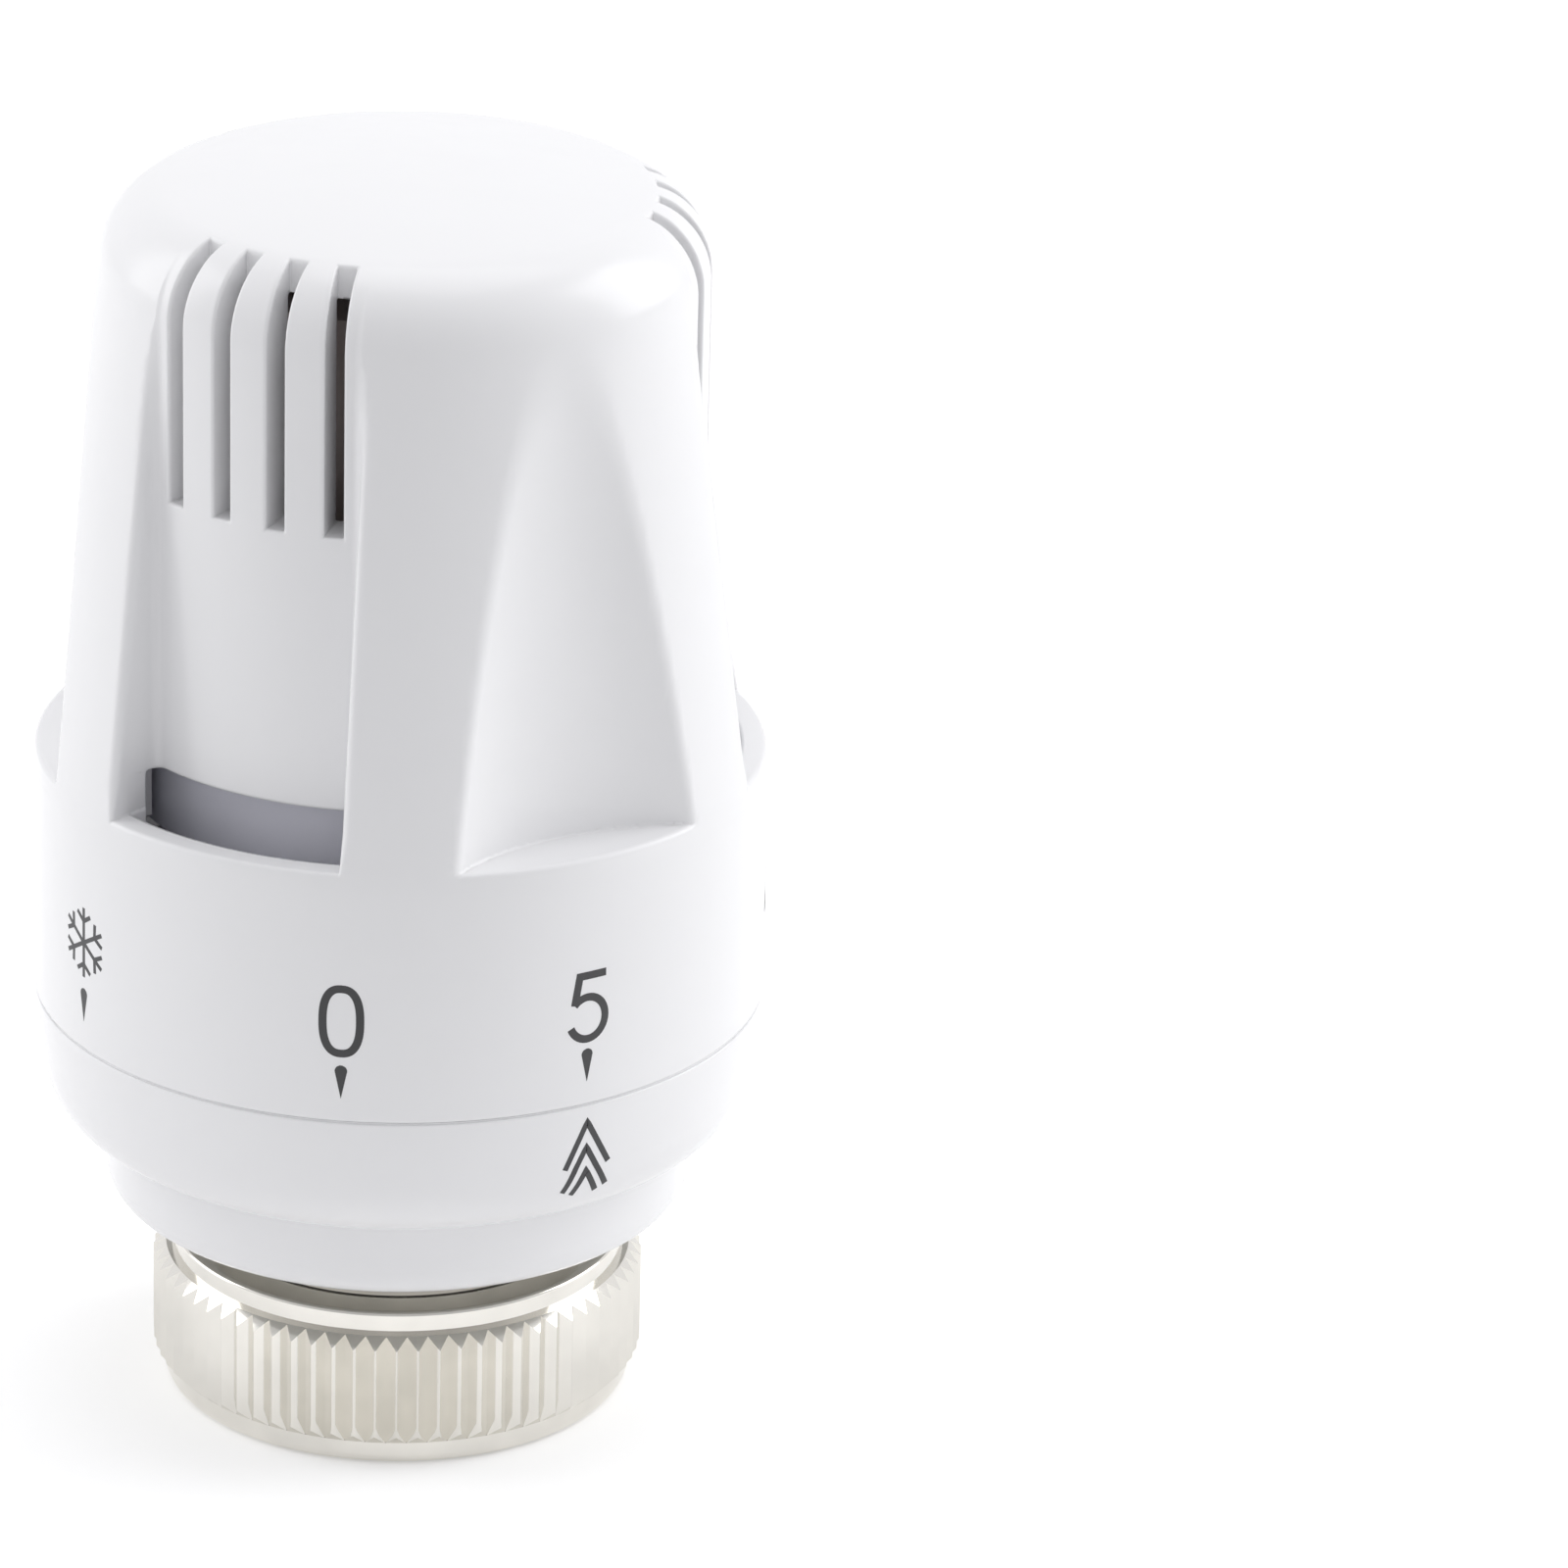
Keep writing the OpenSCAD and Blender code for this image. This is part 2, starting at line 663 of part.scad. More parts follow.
module thread_bush() color("#3a3634") {
    bush_end_z = thread_bush_z + thread_bush_h - fit_clear;
    turned() box2(bush_root_r, thread_bush_r, thread_bush_z, bush_end_z);
    for (i = [0:starts - 1])
        ridge(bush_root_r + ridge_sink, bush_root_r - ridge_h, thread_bush_z, bush_end_z,
            carrier_thread_z + (i + 0.5) * ridge_pitch);
}

// Sensor carrier

module carrier_section() {
    box2(sleeve_bore_r, sleeve_r, sleeve_z, carrier_z + eps);
    box2(tower_bore_r, carrier_r, carrier_z, carrier_floor_z);
    box2(carrier_bore_r, carrier_r, carrier_z, carrier_top_z);
    box2(sleeve_r - eps, shield_r, shield_z - shield_t, shield_z);
    box2(shield_r - shield_t, shield_r, shield_z - shield_h, shield_z);
}

module carrier_post() turned_arc(post_at - post_deg / 2, post_deg) {
    box2(carrier_bore_r + post_inset, post_r, carrier_top_z - post_sink, cap_z);
    box2(cap_r + fit_clear, post_r, cap_z - eps, hook_z + hook_h);
    box2(cap_r - hook_lip, post_r, hook_z, hook_z + hook_h);
}

module sensor_carrier() color("#ececee") {
    key_tip_r = tower_r - keyway_depth + free_clear;
    turned() carrier_section();
    round_at(post_count) {
        carrier_post();
        translate([key_tip_r, -key_w / 2, sleeve_z])
            cube([sleeve_bore_r + key_sink - key_tip_r, key_w, key_h]);
    }
    for (i = [0:starts - 1])
        ridge(carrier_r - ridge_sink, carrier_r + ridge_h, carrier_thread_z, carrier_top_z,
            carrier_thread_z + i * ridge_pitch);
}

module spring_cap() color("#46413e") turned() {
    box2(cap_bore_r, cap_r, cap_z, cap_z + cap_t);
    box2(cap_skirt_bore_r, cap_skirt_bore_r + cap_skirt_t, cap_skirt_z, cap_z + eps);
}

module overtravel_spring() color("#8d9094") coil_spring(strong_r, strong_turns, strong_wire, seat_z, cap_z);

module spring_seat() color("#a5a7aa") turned()
    box2(can_high_r + free_clear, can_r - free_clear, can_step_z, seat_z);

// Sensor

module sensor_can() color("#b98a57") turned() {
    box2(can_bore_r, can_r, sensor_z, can_step_z);
    box2(can_high_bore_r, can_r, can_step_z - can_wall, can_step_z);
    box2(can_high_bore_r, can_high_r, can_step_z - can_wall, can_top_z);
    box2(0, can_high_r, can_top_z - can_wall, can_top_z);
}

module sensor_end_plate() color("#b08c50") turned()
    box2(pin_r + run_clear, can_bore_r - fit_clear, sensor_z, sensor_z + end_plate_t);

module bellows_wall() {
    flat_z = bellows_z + bellows_flange_t;
    height = bellows_top_z - flat_z;
    count = bellows_folds * fold_points;
    wave = [for (i = [0:count]) [bellows_out_r - bellows_fold * (1 - cos(i * 360 / fold_points)) / 2,
        flat_z + height * i / count]];
    polygon(concat(wave, [for (i = [count:-1:0]) wave[i] - [bellows_t, 0]]));
}

module sensor_bellows() color("#c79a4a") turned() {
    bellows_wall();
    flat_z = bellows_z + bellows_flange_t;
    box2(bellows_out_r - bellows_fold, bellows_out_r + bellows_lip, bellows_z, flat_z + eps);
    box2(0, bellows_out_r, bellows_top_z - eps, bellows_top_z + bellows_end_t);
}

module fill_tube() color("#b5713f") {
    pinch = 0.7;
    difference() {
        translate([0, 0, can_top_z]) cylinder(r = fill_r, h = fill_h);
        for (side = [-1, 1])
            translate([-fill_r - over, side > 0 ? pinch : -pinch - over, can_top_z + fill_h / 2])
                cube([2 * fill_r + 2 * over, over, fill_h]);
    }
}

module sensor_pin() color("#b9bbbd") turned() {
    box2(0, pin_r, cup_top_z - cup_recess, bellows_top_z - eps);
    box2(0, pin_head_r, bellows_top_z - pin_head_t, bellows_top_z - eps);
}

// Push rod

module push_rod() color("#d8d8d4") turned() difference() {
    union() {
        box2(0, rod_r, rod_end_z, cup_z + eps);
        box2(0, cup_r, cup_z, cup_top_z);
    }
    box2(0, pin_r + free_clear, cup_top_z - cup_recess, cup_top_z + over);
    box2(rod_r - clip_groove, rod_r + over, clip_z - fit_clear, clip_top_z + fit_clear);
    box2(0, tip_r + fit_clear, rod_end_z - over, rod_end_z + tip_in);
}

module push_rod_tip() color("#8f9296") turned() {
    chamfer = tip_r / 2;
    tip_z = rod_end_z - tip_out;
    box2(0, tip_r, tip_z + chamfer, rod_end_z + tip_in);
    polygon([[0, tip_z], [tip_r - chamfer, tip_z], [tip_r, tip_z + chamfer], [0, tip_z + chamfer]]);
}

module push_rod_clip() color("#85888c")
    turned_arc(clip_open_deg / 2, 360 - clip_open_deg)
        box2(rod_r - clip_groove + fit_clear, clip_r, clip_z, clip_top_z);

module guide_bush() color("#b9924c") turned() {
    box2(rod_r + run_clear, bush_r, bush_z, bush_top_z);
    box2(rod_r + run_clear, bush_flange_r, floor_z, bush_top_z);
}

module return_spring() color("#a2a4a8") coil_spring(soft_r, soft_turns, soft_wire, bush_top_z, cup_z);

union_nut();
nut_snap_ring();
base_body();
index_ring();
dial_snap_ring();
friction_ring();
dial_cap();
thread_bush();
sensor_carrier();
spring_cap();
overtravel_spring();
spring_seat();
sensor_can();
sensor_end_plate();
sensor_bellows();
fill_tube();
sensor_pin();
push_rod();
push_rod_tip();
push_rod_clip();
guide_bush();
return_spring();
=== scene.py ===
"""Studio scene of a thermostatic radiator valve head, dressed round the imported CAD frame.

Lengths are millimetres, and MM turns them into Blender's metres. Angles are radians, or degrees where a name
says deg. A front angle is counted in degrees from the side that the photograph looks at, towards +X.
"""
import json
import math

import bpy
import numpy as np
from mathutils import Matrix, Vector


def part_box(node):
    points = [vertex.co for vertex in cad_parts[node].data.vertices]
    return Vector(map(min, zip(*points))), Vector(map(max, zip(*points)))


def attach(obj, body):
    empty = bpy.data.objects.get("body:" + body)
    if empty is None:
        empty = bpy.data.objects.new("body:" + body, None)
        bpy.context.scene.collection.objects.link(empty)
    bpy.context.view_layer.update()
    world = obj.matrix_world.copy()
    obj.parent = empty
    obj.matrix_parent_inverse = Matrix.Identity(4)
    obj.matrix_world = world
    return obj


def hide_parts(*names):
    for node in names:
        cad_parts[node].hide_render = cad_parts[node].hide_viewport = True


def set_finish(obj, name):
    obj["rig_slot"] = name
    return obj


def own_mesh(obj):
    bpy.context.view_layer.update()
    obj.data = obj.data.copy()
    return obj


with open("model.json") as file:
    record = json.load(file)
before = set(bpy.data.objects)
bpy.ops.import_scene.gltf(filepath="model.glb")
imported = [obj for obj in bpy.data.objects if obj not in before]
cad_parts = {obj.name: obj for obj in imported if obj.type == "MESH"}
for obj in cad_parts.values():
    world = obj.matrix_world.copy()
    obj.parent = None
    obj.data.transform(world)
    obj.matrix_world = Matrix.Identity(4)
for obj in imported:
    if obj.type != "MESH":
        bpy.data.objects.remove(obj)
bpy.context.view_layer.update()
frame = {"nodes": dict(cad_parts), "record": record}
scene = bpy.context.scene
MM = 0.001


def low_z(node):
    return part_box(node)[0].z / MM


def high_z(node):
    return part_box(node)[1].z / MM


def reach(node):
    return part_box(node)[1].y / MM


# Dial as turned
DIAL_R, DIAL_Z, TOP_Z = reach("dial_cap"), low_z("dial_cap"), high_z("dial_cap")
SEAM_Z = high_z("index_ring")
CAP_H = 40.5
LEDGE_Z = TOP_Z - CAP_H
SKIRT_DRAFT = 0.12
LEDGE_R = DIAL_R - SKIRT_DRAFT
LEDGE_DROP = 0.3
TAPER = math.radians(7.31)
SHOULDER = 5.5
DOME_R = 98.0
DOME_Z = TOP_Z - DOME_R
SEAM_EDGE = 0.12
GRIP_EDGE = 0.12

# Windows, slots and scoops, three of each
SECTOR = math.radians(120)
PANEL_R = 20.35
PANEL_GAP = 2.5
PANEL_Z = LEDGE_Z + PANEL_GAP
PANEL_EDGE = 0.35
PANEL_SINK = 0.07
WINDOW_W = 17.4
WINDOW_LEAN = math.radians(10.6)
WINDOW_X = math.sqrt(LEDGE_R ** 2 - WINDOW_W ** 2 / 4)
WINDOW_EDGE = 0.7
WINDOW_FILLET = 0.8
LEDGE_EDGE = 0.3
HALF_GAP = math.radians(31)
GAP_END_R = 21.35
GAP_EDGE = 0.2
SLOT_W = 1.3
SLOT_COUNT = 4
SLOT_PITCH = math.radians(11.4)
SLOT_Z = LEDGE_Z + 21.6
SLOT_EDGE = 0.2
SCOOP_R = 18.0
SCOOP_DEEP_R = 20.65
SCOOP_EDGE = 0.32
SCOOP_FILLET = 0.15

# Hollow of the dial, as (radius, low, high), and its stop
HOLLOW_R = 16.9
SLOT_END_R = HOLLOW_R - 0.2
CEILING_Z = TOP_Z - 3.8
SKIRT_BORE_R = LEDGE_R - 1.95
RIB_BORE_R = PANEL_R - 1.35
FLOOR_Z = LEDGE_Z - 2.3
COLLAR_R = reach("base_body")
COLLAR_Z = SEAM_Z + 6.5
RING_R = 0.8
RING_Z = (low_z("dial_snap_ring") + high_z("dial_snap_ring")) / 2
CLEAR = 0.05
OVERLAP = 1.0
HOLLOWS = (
    (COLLAR_R + CLEAR, SEAM_Z - OVERLAP, COLLAR_Z + OVERLAP),
    (COLLAR_R + RING_R, RING_Z - RING_R, RING_Z + RING_R),
    (SKIRT_BORE_R + 0.2, COLLAR_Z + 0.4, FLOOR_Z),
    (RIB_BORE_R, FLOOR_Z - OVERLAP, PANEL_Z),
    (reach("thread_bush") + CLEAR, PANEL_Z - OVERLAP, high_z("thread_bush") + CLEAR),
    (HOLLOW_R, PANEL_Z, CEILING_Z),
)
STOP_ANGLE, STOP_HALF = math.radians(30), math.radians(9.5)
STOP_R = 20.1
STOP_Z, STOP_H = COLLAR_Z + 0.5, 3.0


def shoulder_middle():
    """Middle of the shoulder's round, which touches the dome and the tapered side."""
    slope = math.tan(TAPER)
    start = LEDGE_R - SHOULDER / math.cos(TAPER) + (LEDGE_Z - LEDGE_DROP) * slope
    half_b = start * slope + DOME_Z
    c = start * start + DOME_Z * DOME_Z - (DOME_R - SHOULDER) ** 2
    k = 1 + slope * slope
    z = (half_b + math.sqrt(half_b * half_b - k * c)) / k
    return start - z * slope, z


ROUND_R, ROUND_Z = shoulder_middle()
DOME_LEAN = math.atan2(ROUND_Z - DOME_Z, ROUND_R)
PANEL_ROUND_R = PANEL_R - SHOULDER
PANEL_ROUND_Z = ROUND_Z + PANEL_SINK


def skirt_r(z):
    return DIAL_R - SKIRT_DRAFT * (z - SEAM_Z) / (LEDGE_Z - SEAM_Z)


# Index ring
INDEX_ROUND = 4.9
INDEX_ROUND_R, INDEX_ROUND_Z = 19.6, SEAM_Z - 4.7
INDEX_LEAN = (DIAL_R - INDEX_ROUND_R - INDEX_ROUND) / (SEAM_Z - INDEX_ROUND_Z)
INDEX_FOOT_R = 20.25
INDEX_FLOOR_Z = 21.95
INDEX_LIP_R, INDEX_LIP_H = 24.84, 0.1
INDEX_SEGMENTS = 240


def index_r(z):
    """Outer radius of the index ring, round below and leaning out above."""
    below = math.sqrt(max(INDEX_ROUND ** 2 - min(z - INDEX_ROUND_Z, 0) ** 2, 0))
    return INDEX_ROUND_R + below + INDEX_LEAN * max(z - INDEX_ROUND_Z, 0)


# Union nut
TOOTH_COUNT = 72
TOOTH_R = reach("union_nut")
TOOTH_H = 0.85
TOOTH_TIP = 0.03
# Columns of a tooth, as shares of half a pitch from its tip
TOOTH_SHARES = (0, 0.09, 0.36, 0.64, 0.93, 1, -0.93, -0.64, -0.36, -0.09)
NUT_RIM_R = 16.2
NUT_RIM_H = 1.7
NUT_RIM_EDGE = 0.8
KNURL_Z = 9.75
KNURL_TOP_R = TOOTH_R - TOOTH_H - 0.05
KNURL_SLOPE = 0.9
NUT_COLLAR_R = 15.7
NUT_COLLAR_EDGE = 0.3
NUT_TOP_Z = high_z("union_nut")
NUT_HOLE_R = 12.08
THREAD_R, THREAD_DEEP_R = 14.188, 15.0
THREAD_PITCH, THREAD_GROOVES = 1.5, 3
THREAD_FIRST_Z, THREAD_END_Z = 1.531, 5.7
RELIEF_TOP_Z = 8.8

# Neck and underside of the foot
NECK_R = 13.2
NECK_Z = NUT_TOP_Z + 0.1
FOOT_Z = NUT_TOP_Z + 3.05
FOOT_ROUND_R, FOOT_ROUND = 18.2, 2.0
SKIN = 0.03
NECK_SEGMENTS = 120

# Springs, as (radius of the coil, wire, turns)
OVERTRAVEL_COIL = (11.25, 1.8, 5)
RETURN_COIL = (5.4, 1.0, 8)
RETURN_SPLIT = 5
END_TURN_GAP = 0.5
CAD_WIRE_SIDES = 6
POINTS_PER_TURN, WIRE_SIDES = 48, 16

# Bellows
BELLOWS_R = 7.65
BELLOWS_FOLDS = 8
BELLOWS_DEEP = 2.2
BELLOWS_WALL = 0.3
BELLOWS_FLANGE_R, BELLOWS_FLANGE_H = 8.15, 0.4
BELLOWS_END_H = 0.5
BELLOWS_SEGMENTS, FOLD_POINTS = 72, 14


# Signed distances of the dial's forms, negative inside

def blend_max(a, b, radius):
    """Intersection of two solids, with the edge between them rounded."""
    corner = np.hypot(np.maximum(a + radius, 0), np.maximum(b + radius, 0))
    return corner + np.minimum(np.maximum(a, b), -radius)


def blend_min(a, b, radius):
    """Union of two solids, with a fillet between them."""
    return -blend_max(-a, -b, radius)


def turned_field(z, r):
    """The dial as turned, before its windows, scoops and hollow."""
    across, up = r - ROUND_R, z - ROUND_Z
    lean = np.arctan2(up, across)
    side = across * math.cos(TAPER) + up * math.sin(TAPER) - SHOULDER
    dome = np.hypot(r, z - DOME_Z) - DOME_R
    shoulder = np.hypot(across, up) - SHOULDER
    grip = np.where(lean < TAPER, side, np.where(lean > DOME_LEAN, dome, shoulder))
    return blend_max(blend_max(grip, r - skirt_r(z), GRIP_EDGE), DIAL_Z - z, SEAM_EDGE)


def box_field(z, r, r0, r1, z0, z1):
    return np.maximum(np.maximum(r0 - r, r - r1), np.maximum(z0 - z, z - z1))


def windowed_field(folded, z, r):
    """The dial with its three windows sunk to their panels and open below them."""
    outside = turned_field(z, r)
    half = WINDOW_W / 2 + (r * np.cos(folded) - WINDOW_X) * math.tan(WINDOW_LEAN)
    wall = (np.abs(r * np.sin(folded)) - half) * math.cos(WINDOW_LEAN)
    edge = LEDGE_EDGE + (WINDOW_EDGE - LEDGE_EDGE) * np.clip((z - LEDGE_Z) / PANEL_GAP, 0, 1)
    window = np.maximum(np.maximum(wall, LEDGE_Z - z), PANEL_ROUND_R - r)
    ribs = blend_max(outside, -window, edge)
    sunk = np.hypot(np.maximum(r - PANEL_ROUND_R, 0), np.maximum(z - PANEL_ROUND_Z, 0)) - SHOULDER
    panel = np.maximum(outside, blend_max(sunk, PANEL_Z - z, PANEL_EDGE))
    solid = np.maximum(outside, blend_min(ribs, panel, WINDOW_FILLET))
    gap = box_field(z, r, RIB_BORE_R - OVERLAP, SKIRT_BORE_R, FLOOR_Z - OVERLAP, PANEL_Z)
    behind_ribs = np.maximum(r * (np.abs(folded) - HALF_GAP), r - GAP_END_R)
    return blend_max(solid, -np.maximum(gap, np.minimum(wall, behind_ribs)), GAP_EDGE)


def dial_field(angle, z, r):
    folded = (angle + SECTOR / 2) % SECTOR - SECTOR / 2
    solid = windowed_field(folded, z, r)
    for i in range(SLOT_COUNT):
        turn = folded - (i - (SLOT_COUNT - 1) / 2) * SLOT_PITCH
        slot = np.maximum(np.abs(r * np.sin(turn)) - SLOT_W / 2,
                          np.maximum(SLOT_END_R - r * np.cos(turn), SLOT_Z - z))
        solid = blend_max(solid, -slot, SLOT_EDGE)
    turn = np.abs(folded) - SECTOR / 2
    scoop = np.hypot(r * np.cos(turn) - SCOOP_DEEP_R - SCOOP_R, r * np.sin(turn)) - SCOOP_R
    solid = blend_max(solid, -blend_max(scoop, LEDGE_Z - z, SCOOP_FILLET), SCOOP_EDGE)
    for radius, z0, z1 in HOLLOWS:
        solid = np.maximum(solid, -box_field(z, r, -OVERLAP, radius, z0, z1))
    turn = np.abs((angle - STOP_ANGLE + math.pi) % (2 * math.pi) - math.pi) - STOP_HALF
    stop = np.maximum(r * turn, box_field(z, r, STOP_R, SKIRT_BORE_R + OVERLAP, STOP_Z, STOP_Z + STOP_H))
    return np.minimum(solid, stop)


# Surface of a field, on a grid that wraps round the axis

def steps(*runs):
    """Grid values over runs of (start, end, spacing), which share their ends."""
    values = [runs[0][0]]
    for start, end, spacing in runs:
        values.extend(np.linspace(start, end, max(1, round((end - start) / spacing)) + 1)[1:])
    return np.array(values)


def net_points(value, angles, heights, radii, cells):
    """One point in each cell: the mean of the places where the surface crosses its edges."""
    i, j, k = cells
    corners = [np.array((a, b, c)) for a in (0, 1) for b in (0, 1) for c in (0, 1)]
    total, hits = np.zeros((len(i), 3)), np.zeros(len(i))
    for p in corners:
        for q in corners:
            if (q - p).sum() != 1 or (q - p).min() < 0:
                continue
            f, g = (value[(i + c[0]) % len(angles), j + c[1], k + c[2]] for c in (p, q))
            cross = (f < 0) != (g < 0)
            share = np.where(cross, f / np.where(cross, f - g, 1), 0)
            total += np.where(cross[:, None], p + share[:, None] * (q - p), 0)
            hits += cross
    place = total / hits[:, None] + np.stack(cells, 1)
    angle = np.interp(place[:, 0], np.arange(len(angles) + 1), np.append(angles, angles[0] + 2 * math.pi))
    z = np.interp(place[:, 1], np.arange(len(heights)), heights)
    r = np.interp(place[:, 2], np.arange(len(radii)), radii)
    return np.stack([r * np.cos(angle), r * np.sin(angle), z], 1)


def net_quads(inside, number):
    """A quad round each grid edge that the surface crosses, facing out of the solid."""
    quads = []
    for axis in range(3):
        ahead = np.roll(inside, -1, 0) if axis == 0 else inside[(slice(None),) * axis + (slice(1, None),)]
        here = inside[tuple(slice(0, n) for n in ahead.shape)]
        edge = np.array(np.nonzero(here != ahead))
        others = [x for x in range(3) if x != axis]
        for x in others:
            if x > 0:
                edge = edge[:, (edge[x] > 0) & (edge[x] < number.shape[x])]
        ring = []
        for d0, d1 in ((-1, -1), (0, -1), (0, 0), (-1, 0)):
            cell = edge.copy()
            cell[others[0]] += d0
            cell[others[1]] += d1
            ring.append(number[cell[0] % len(inside), cell[1], cell[2]])
        quad = np.stack(ring, 1)
        flip = here[tuple(edge)] == (axis == 1)
        quad[flip] = quad[flip][:, ::-1]
        quads.append(quad)
    return np.concatenate(quads)


def net_surface(field, angles, heights, radii):
    value = field(angles[:, None, None], heights[None, :, None], radii[None, None, :])
    inside = value < 0
    wrapped = np.concatenate([inside, inside[:1]]).astype(int)
    count = sum(wrapped[a:a + len(angles), b:b + len(heights) - 1, c:c + len(radii) - 1]
                for a in (0, 1) for b in (0, 1) for c in (0, 1))
    cells = np.nonzero((count > 0) & (count < 8))
    number = np.full(count.shape, -1)
    number[cells] = np.arange(len(cells[0]))
    points = net_points(value, angles, heights, radii, cells)
    shared = np.arange(len(points))
    on_axis = {}
    for v in np.nonzero(cells[2] == 0)[0]:
        shared[v] = on_axis.setdefault(cells[1][v], v)
        points[v, :2] = 0
    return points, [list(dict.fromkeys(quad)) for quad in shared[net_quads(inside, number)].tolist()]


def field_at(field, points):
    return field(np.arctan2(points[:, 1], points[:, 0]), points[:, 2], np.hypot(points[:, 0], points[:, 1]))


def slope_at(field, points, step):
    slope = np.empty_like(points)
    for axis, shift in enumerate(np.eye(3) * step):
        slope[:, axis] = field_at(field, points + shift) - field_at(field, points - shift)
    return slope / (2 * step)


def settle(field, points, rounds=3, step=0.01, limit=0.3):
    """Points moved along the field's slope onto its surface."""
    for _ in range(rounds):
        slope = slope_at(field, points, step)
        shift = -field_at(field, points)[:, None] * slope / np.maximum((slope ** 2).sum(1), 0.25)[:, None]
        length = np.linalg.norm(shift, axis=1, keepdims=True)
        points = points + shift * np.minimum(1, limit / np.maximum(length, limit))
    return points


# Other meshes

def grid_faces(columns, rows, ring=True):
    """Quads of columns of closed rows, which close in a ring or end in caps."""
    faces = []
    for c in range(columns if ring else columns - 1):
        a, b = c * rows, (c + 1) % columns * rows
        faces.extend([a + r, b + r, b + (r + 1) % rows, a + (r + 1) % rows] for r in range(rows))
    if not ring:
        faces.append(list(range(rows)))
        faces.append([(columns - 1) * rows + r for r in reversed(range(rows))])
    return faces


def turned(profile, segments):
    """Points and faces of a closed profile of (radius, height), anticlockwise, turned about the axis."""
    angle = np.arange(segments)[:, None] * 2 * math.pi / segments
    r, z = np.array(profile).T
    points = np.stack([r * np.cos(angle), r * np.sin(angle), z + 0 * angle], 2).reshape(-1, 3)
    shared = [n % len(r) if r[n % len(r)] == 0 else n for n in range(len(points))]
    faces = [list(dict.fromkeys(shared[n] for n in face)) for face in grid_faces(segments, len(r))]
    return points, [face for face in faces if len(face) > 2]


def arc(r, z, radius, start_deg, end_deg, count=12):
    """Points of an arc, with a radius for each direction where it is an oval's."""
    wide, high = radius if isinstance(radius, tuple) else (radius, radius)
    turn = np.radians(np.linspace(start_deg, end_deg, count))
    return [(r + wide * math.cos(t), z + high * math.sin(t)) for t in turn]


def squarish_oval(wide, high, power, count=64):
    """Closed oval with fuller corners than an ellipse."""
    turns = np.linspace(0, 2 * math.pi, count + 1)
    return [tuple(size * math.copysign(abs(way) ** power, way) for size, way in
                  ((wide, math.cos(t)), (high, math.sin(t)))) for t in turns]


def add_piece(name, points, faces, body, slot, replaces=(), normals=None, sharp_deg=None):
    """New piece, smooth, or with the edges that are sharper than an angle kept sharp."""
    mesh = bpy.data.meshes.new(name)
    mesh.from_pydata((np.asarray(points) * MM).tolist(), [], faces)
    mesh.shade_smooth()
    if sharp_deg is not None:
        mesh.set_sharp_from_angle(angle=math.radians(sharp_deg))
    if normals is not None:
        mesh.normals_split_custom_set_from_vertices(normals.tolist())
    piece = bpy.data.objects.new(name, mesh)
    scene.collection.objects.link(piece)
    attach(piece, body)
    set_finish(piece, slot)
    if replaces:
        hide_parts(*replaces)
    return piece


def shorten(piece):
    """The piece gets its own copy of its mesh."""
    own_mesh(piece)


# Pieces

# Grid of the dial's field
WINDOW_HALF_ANGLE = math.radians(23)
FINE_ANGLE, COARSE_ANGLE = math.radians(0.35), math.radians(1.2)
NORMAL_STEP = 0.06


def dial_angles():
    """Angles of the dial's grid, closer together at the windows."""
    half = WINDOW_HALF_ANGLE
    sector = steps((-half, half, FINE_ANGLE), (half, SECTOR - half, COARSE_ANGLE))[:-1]
    return np.concatenate([sector + n * SECTOR for n in range(3)])


def make_dial():
    """Dial with rounded edges, on a grid that is finest where its forms are small."""
    heights = steps((DIAL_Z - 0.7, DIAL_Z + 0.9, 0.2), (DIAL_Z + 0.9, FLOOR_Z - 1.5, 0.9),
                    (FLOOR_Z - 1.5, PANEL_Z + 1.3, 0.2), (PANEL_Z + 1.3, SLOT_Z - 1.4, 0.9),
                    (SLOT_Z - 1.4, SLOT_Z + 1.6, 0.25), (SLOT_Z + 1.6, ROUND_Z - 1, 0.7),
                    (ROUND_Z - 1, TOP_Z + 0.8, 0.25))
    radii = steps((0, HOLLOW_R - 3.4, 1.35), (HOLLOW_R - 3.4, HOLLOW_R - 0.4, 0.5),
                  (HOLLOW_R - 0.4, PANEL_R + 0.8, 0.2), (PANEL_R + 0.8, DIAL_R - 1.5, 0.4),
                  (DIAL_R - 1.5, DIAL_R + 0.9, 0.2))
    points, faces = net_surface(dial_field, dial_angles(), heights, radii)
    points = settle(dial_field, points)
    normals = slope_at(dial_field, points, NORMAL_STEP)
    normals /= np.maximum(np.linalg.norm(normals, axis=1, keepdims=True), 1e-9)
    return add_piece("dial_shell", points, faces, "dial", "white_plastic", ["dial_cap"], normals)


def make_index_band():
    """Index ring with its edge at the seam rounded, and a lip that makes the seam shallow."""
    start = math.degrees(math.asin((INDEX_FOOT_R - INDEX_ROUND_R) / INDEX_ROUND)) - 90
    profile = arc(INDEX_ROUND_R, INDEX_ROUND_Z, INDEX_ROUND, start, 0, 24)
    edge_z = SEAM_Z - SEAM_EDGE
    profile += arc(index_r(edge_z) - SEAM_EDGE, edge_z, SEAM_EDGE, 0, 90, 8)
    lip_z = SEAM_Z + INDEX_LIP_H
    profile += [(INDEX_LIP_R, SEAM_Z), (INDEX_LIP_R, lip_z)]
    profile += [(COLLAR_R, lip_z), (COLLAR_R, INDEX_FLOOR_Z), (INDEX_FOOT_R, INDEX_FLOOR_Z)]
    points, faces = turned(profile, INDEX_SEGMENTS)
    return add_piece("index_band", points, faces, "base", "white_plastic", ["index_ring"], sharp_deg=35)


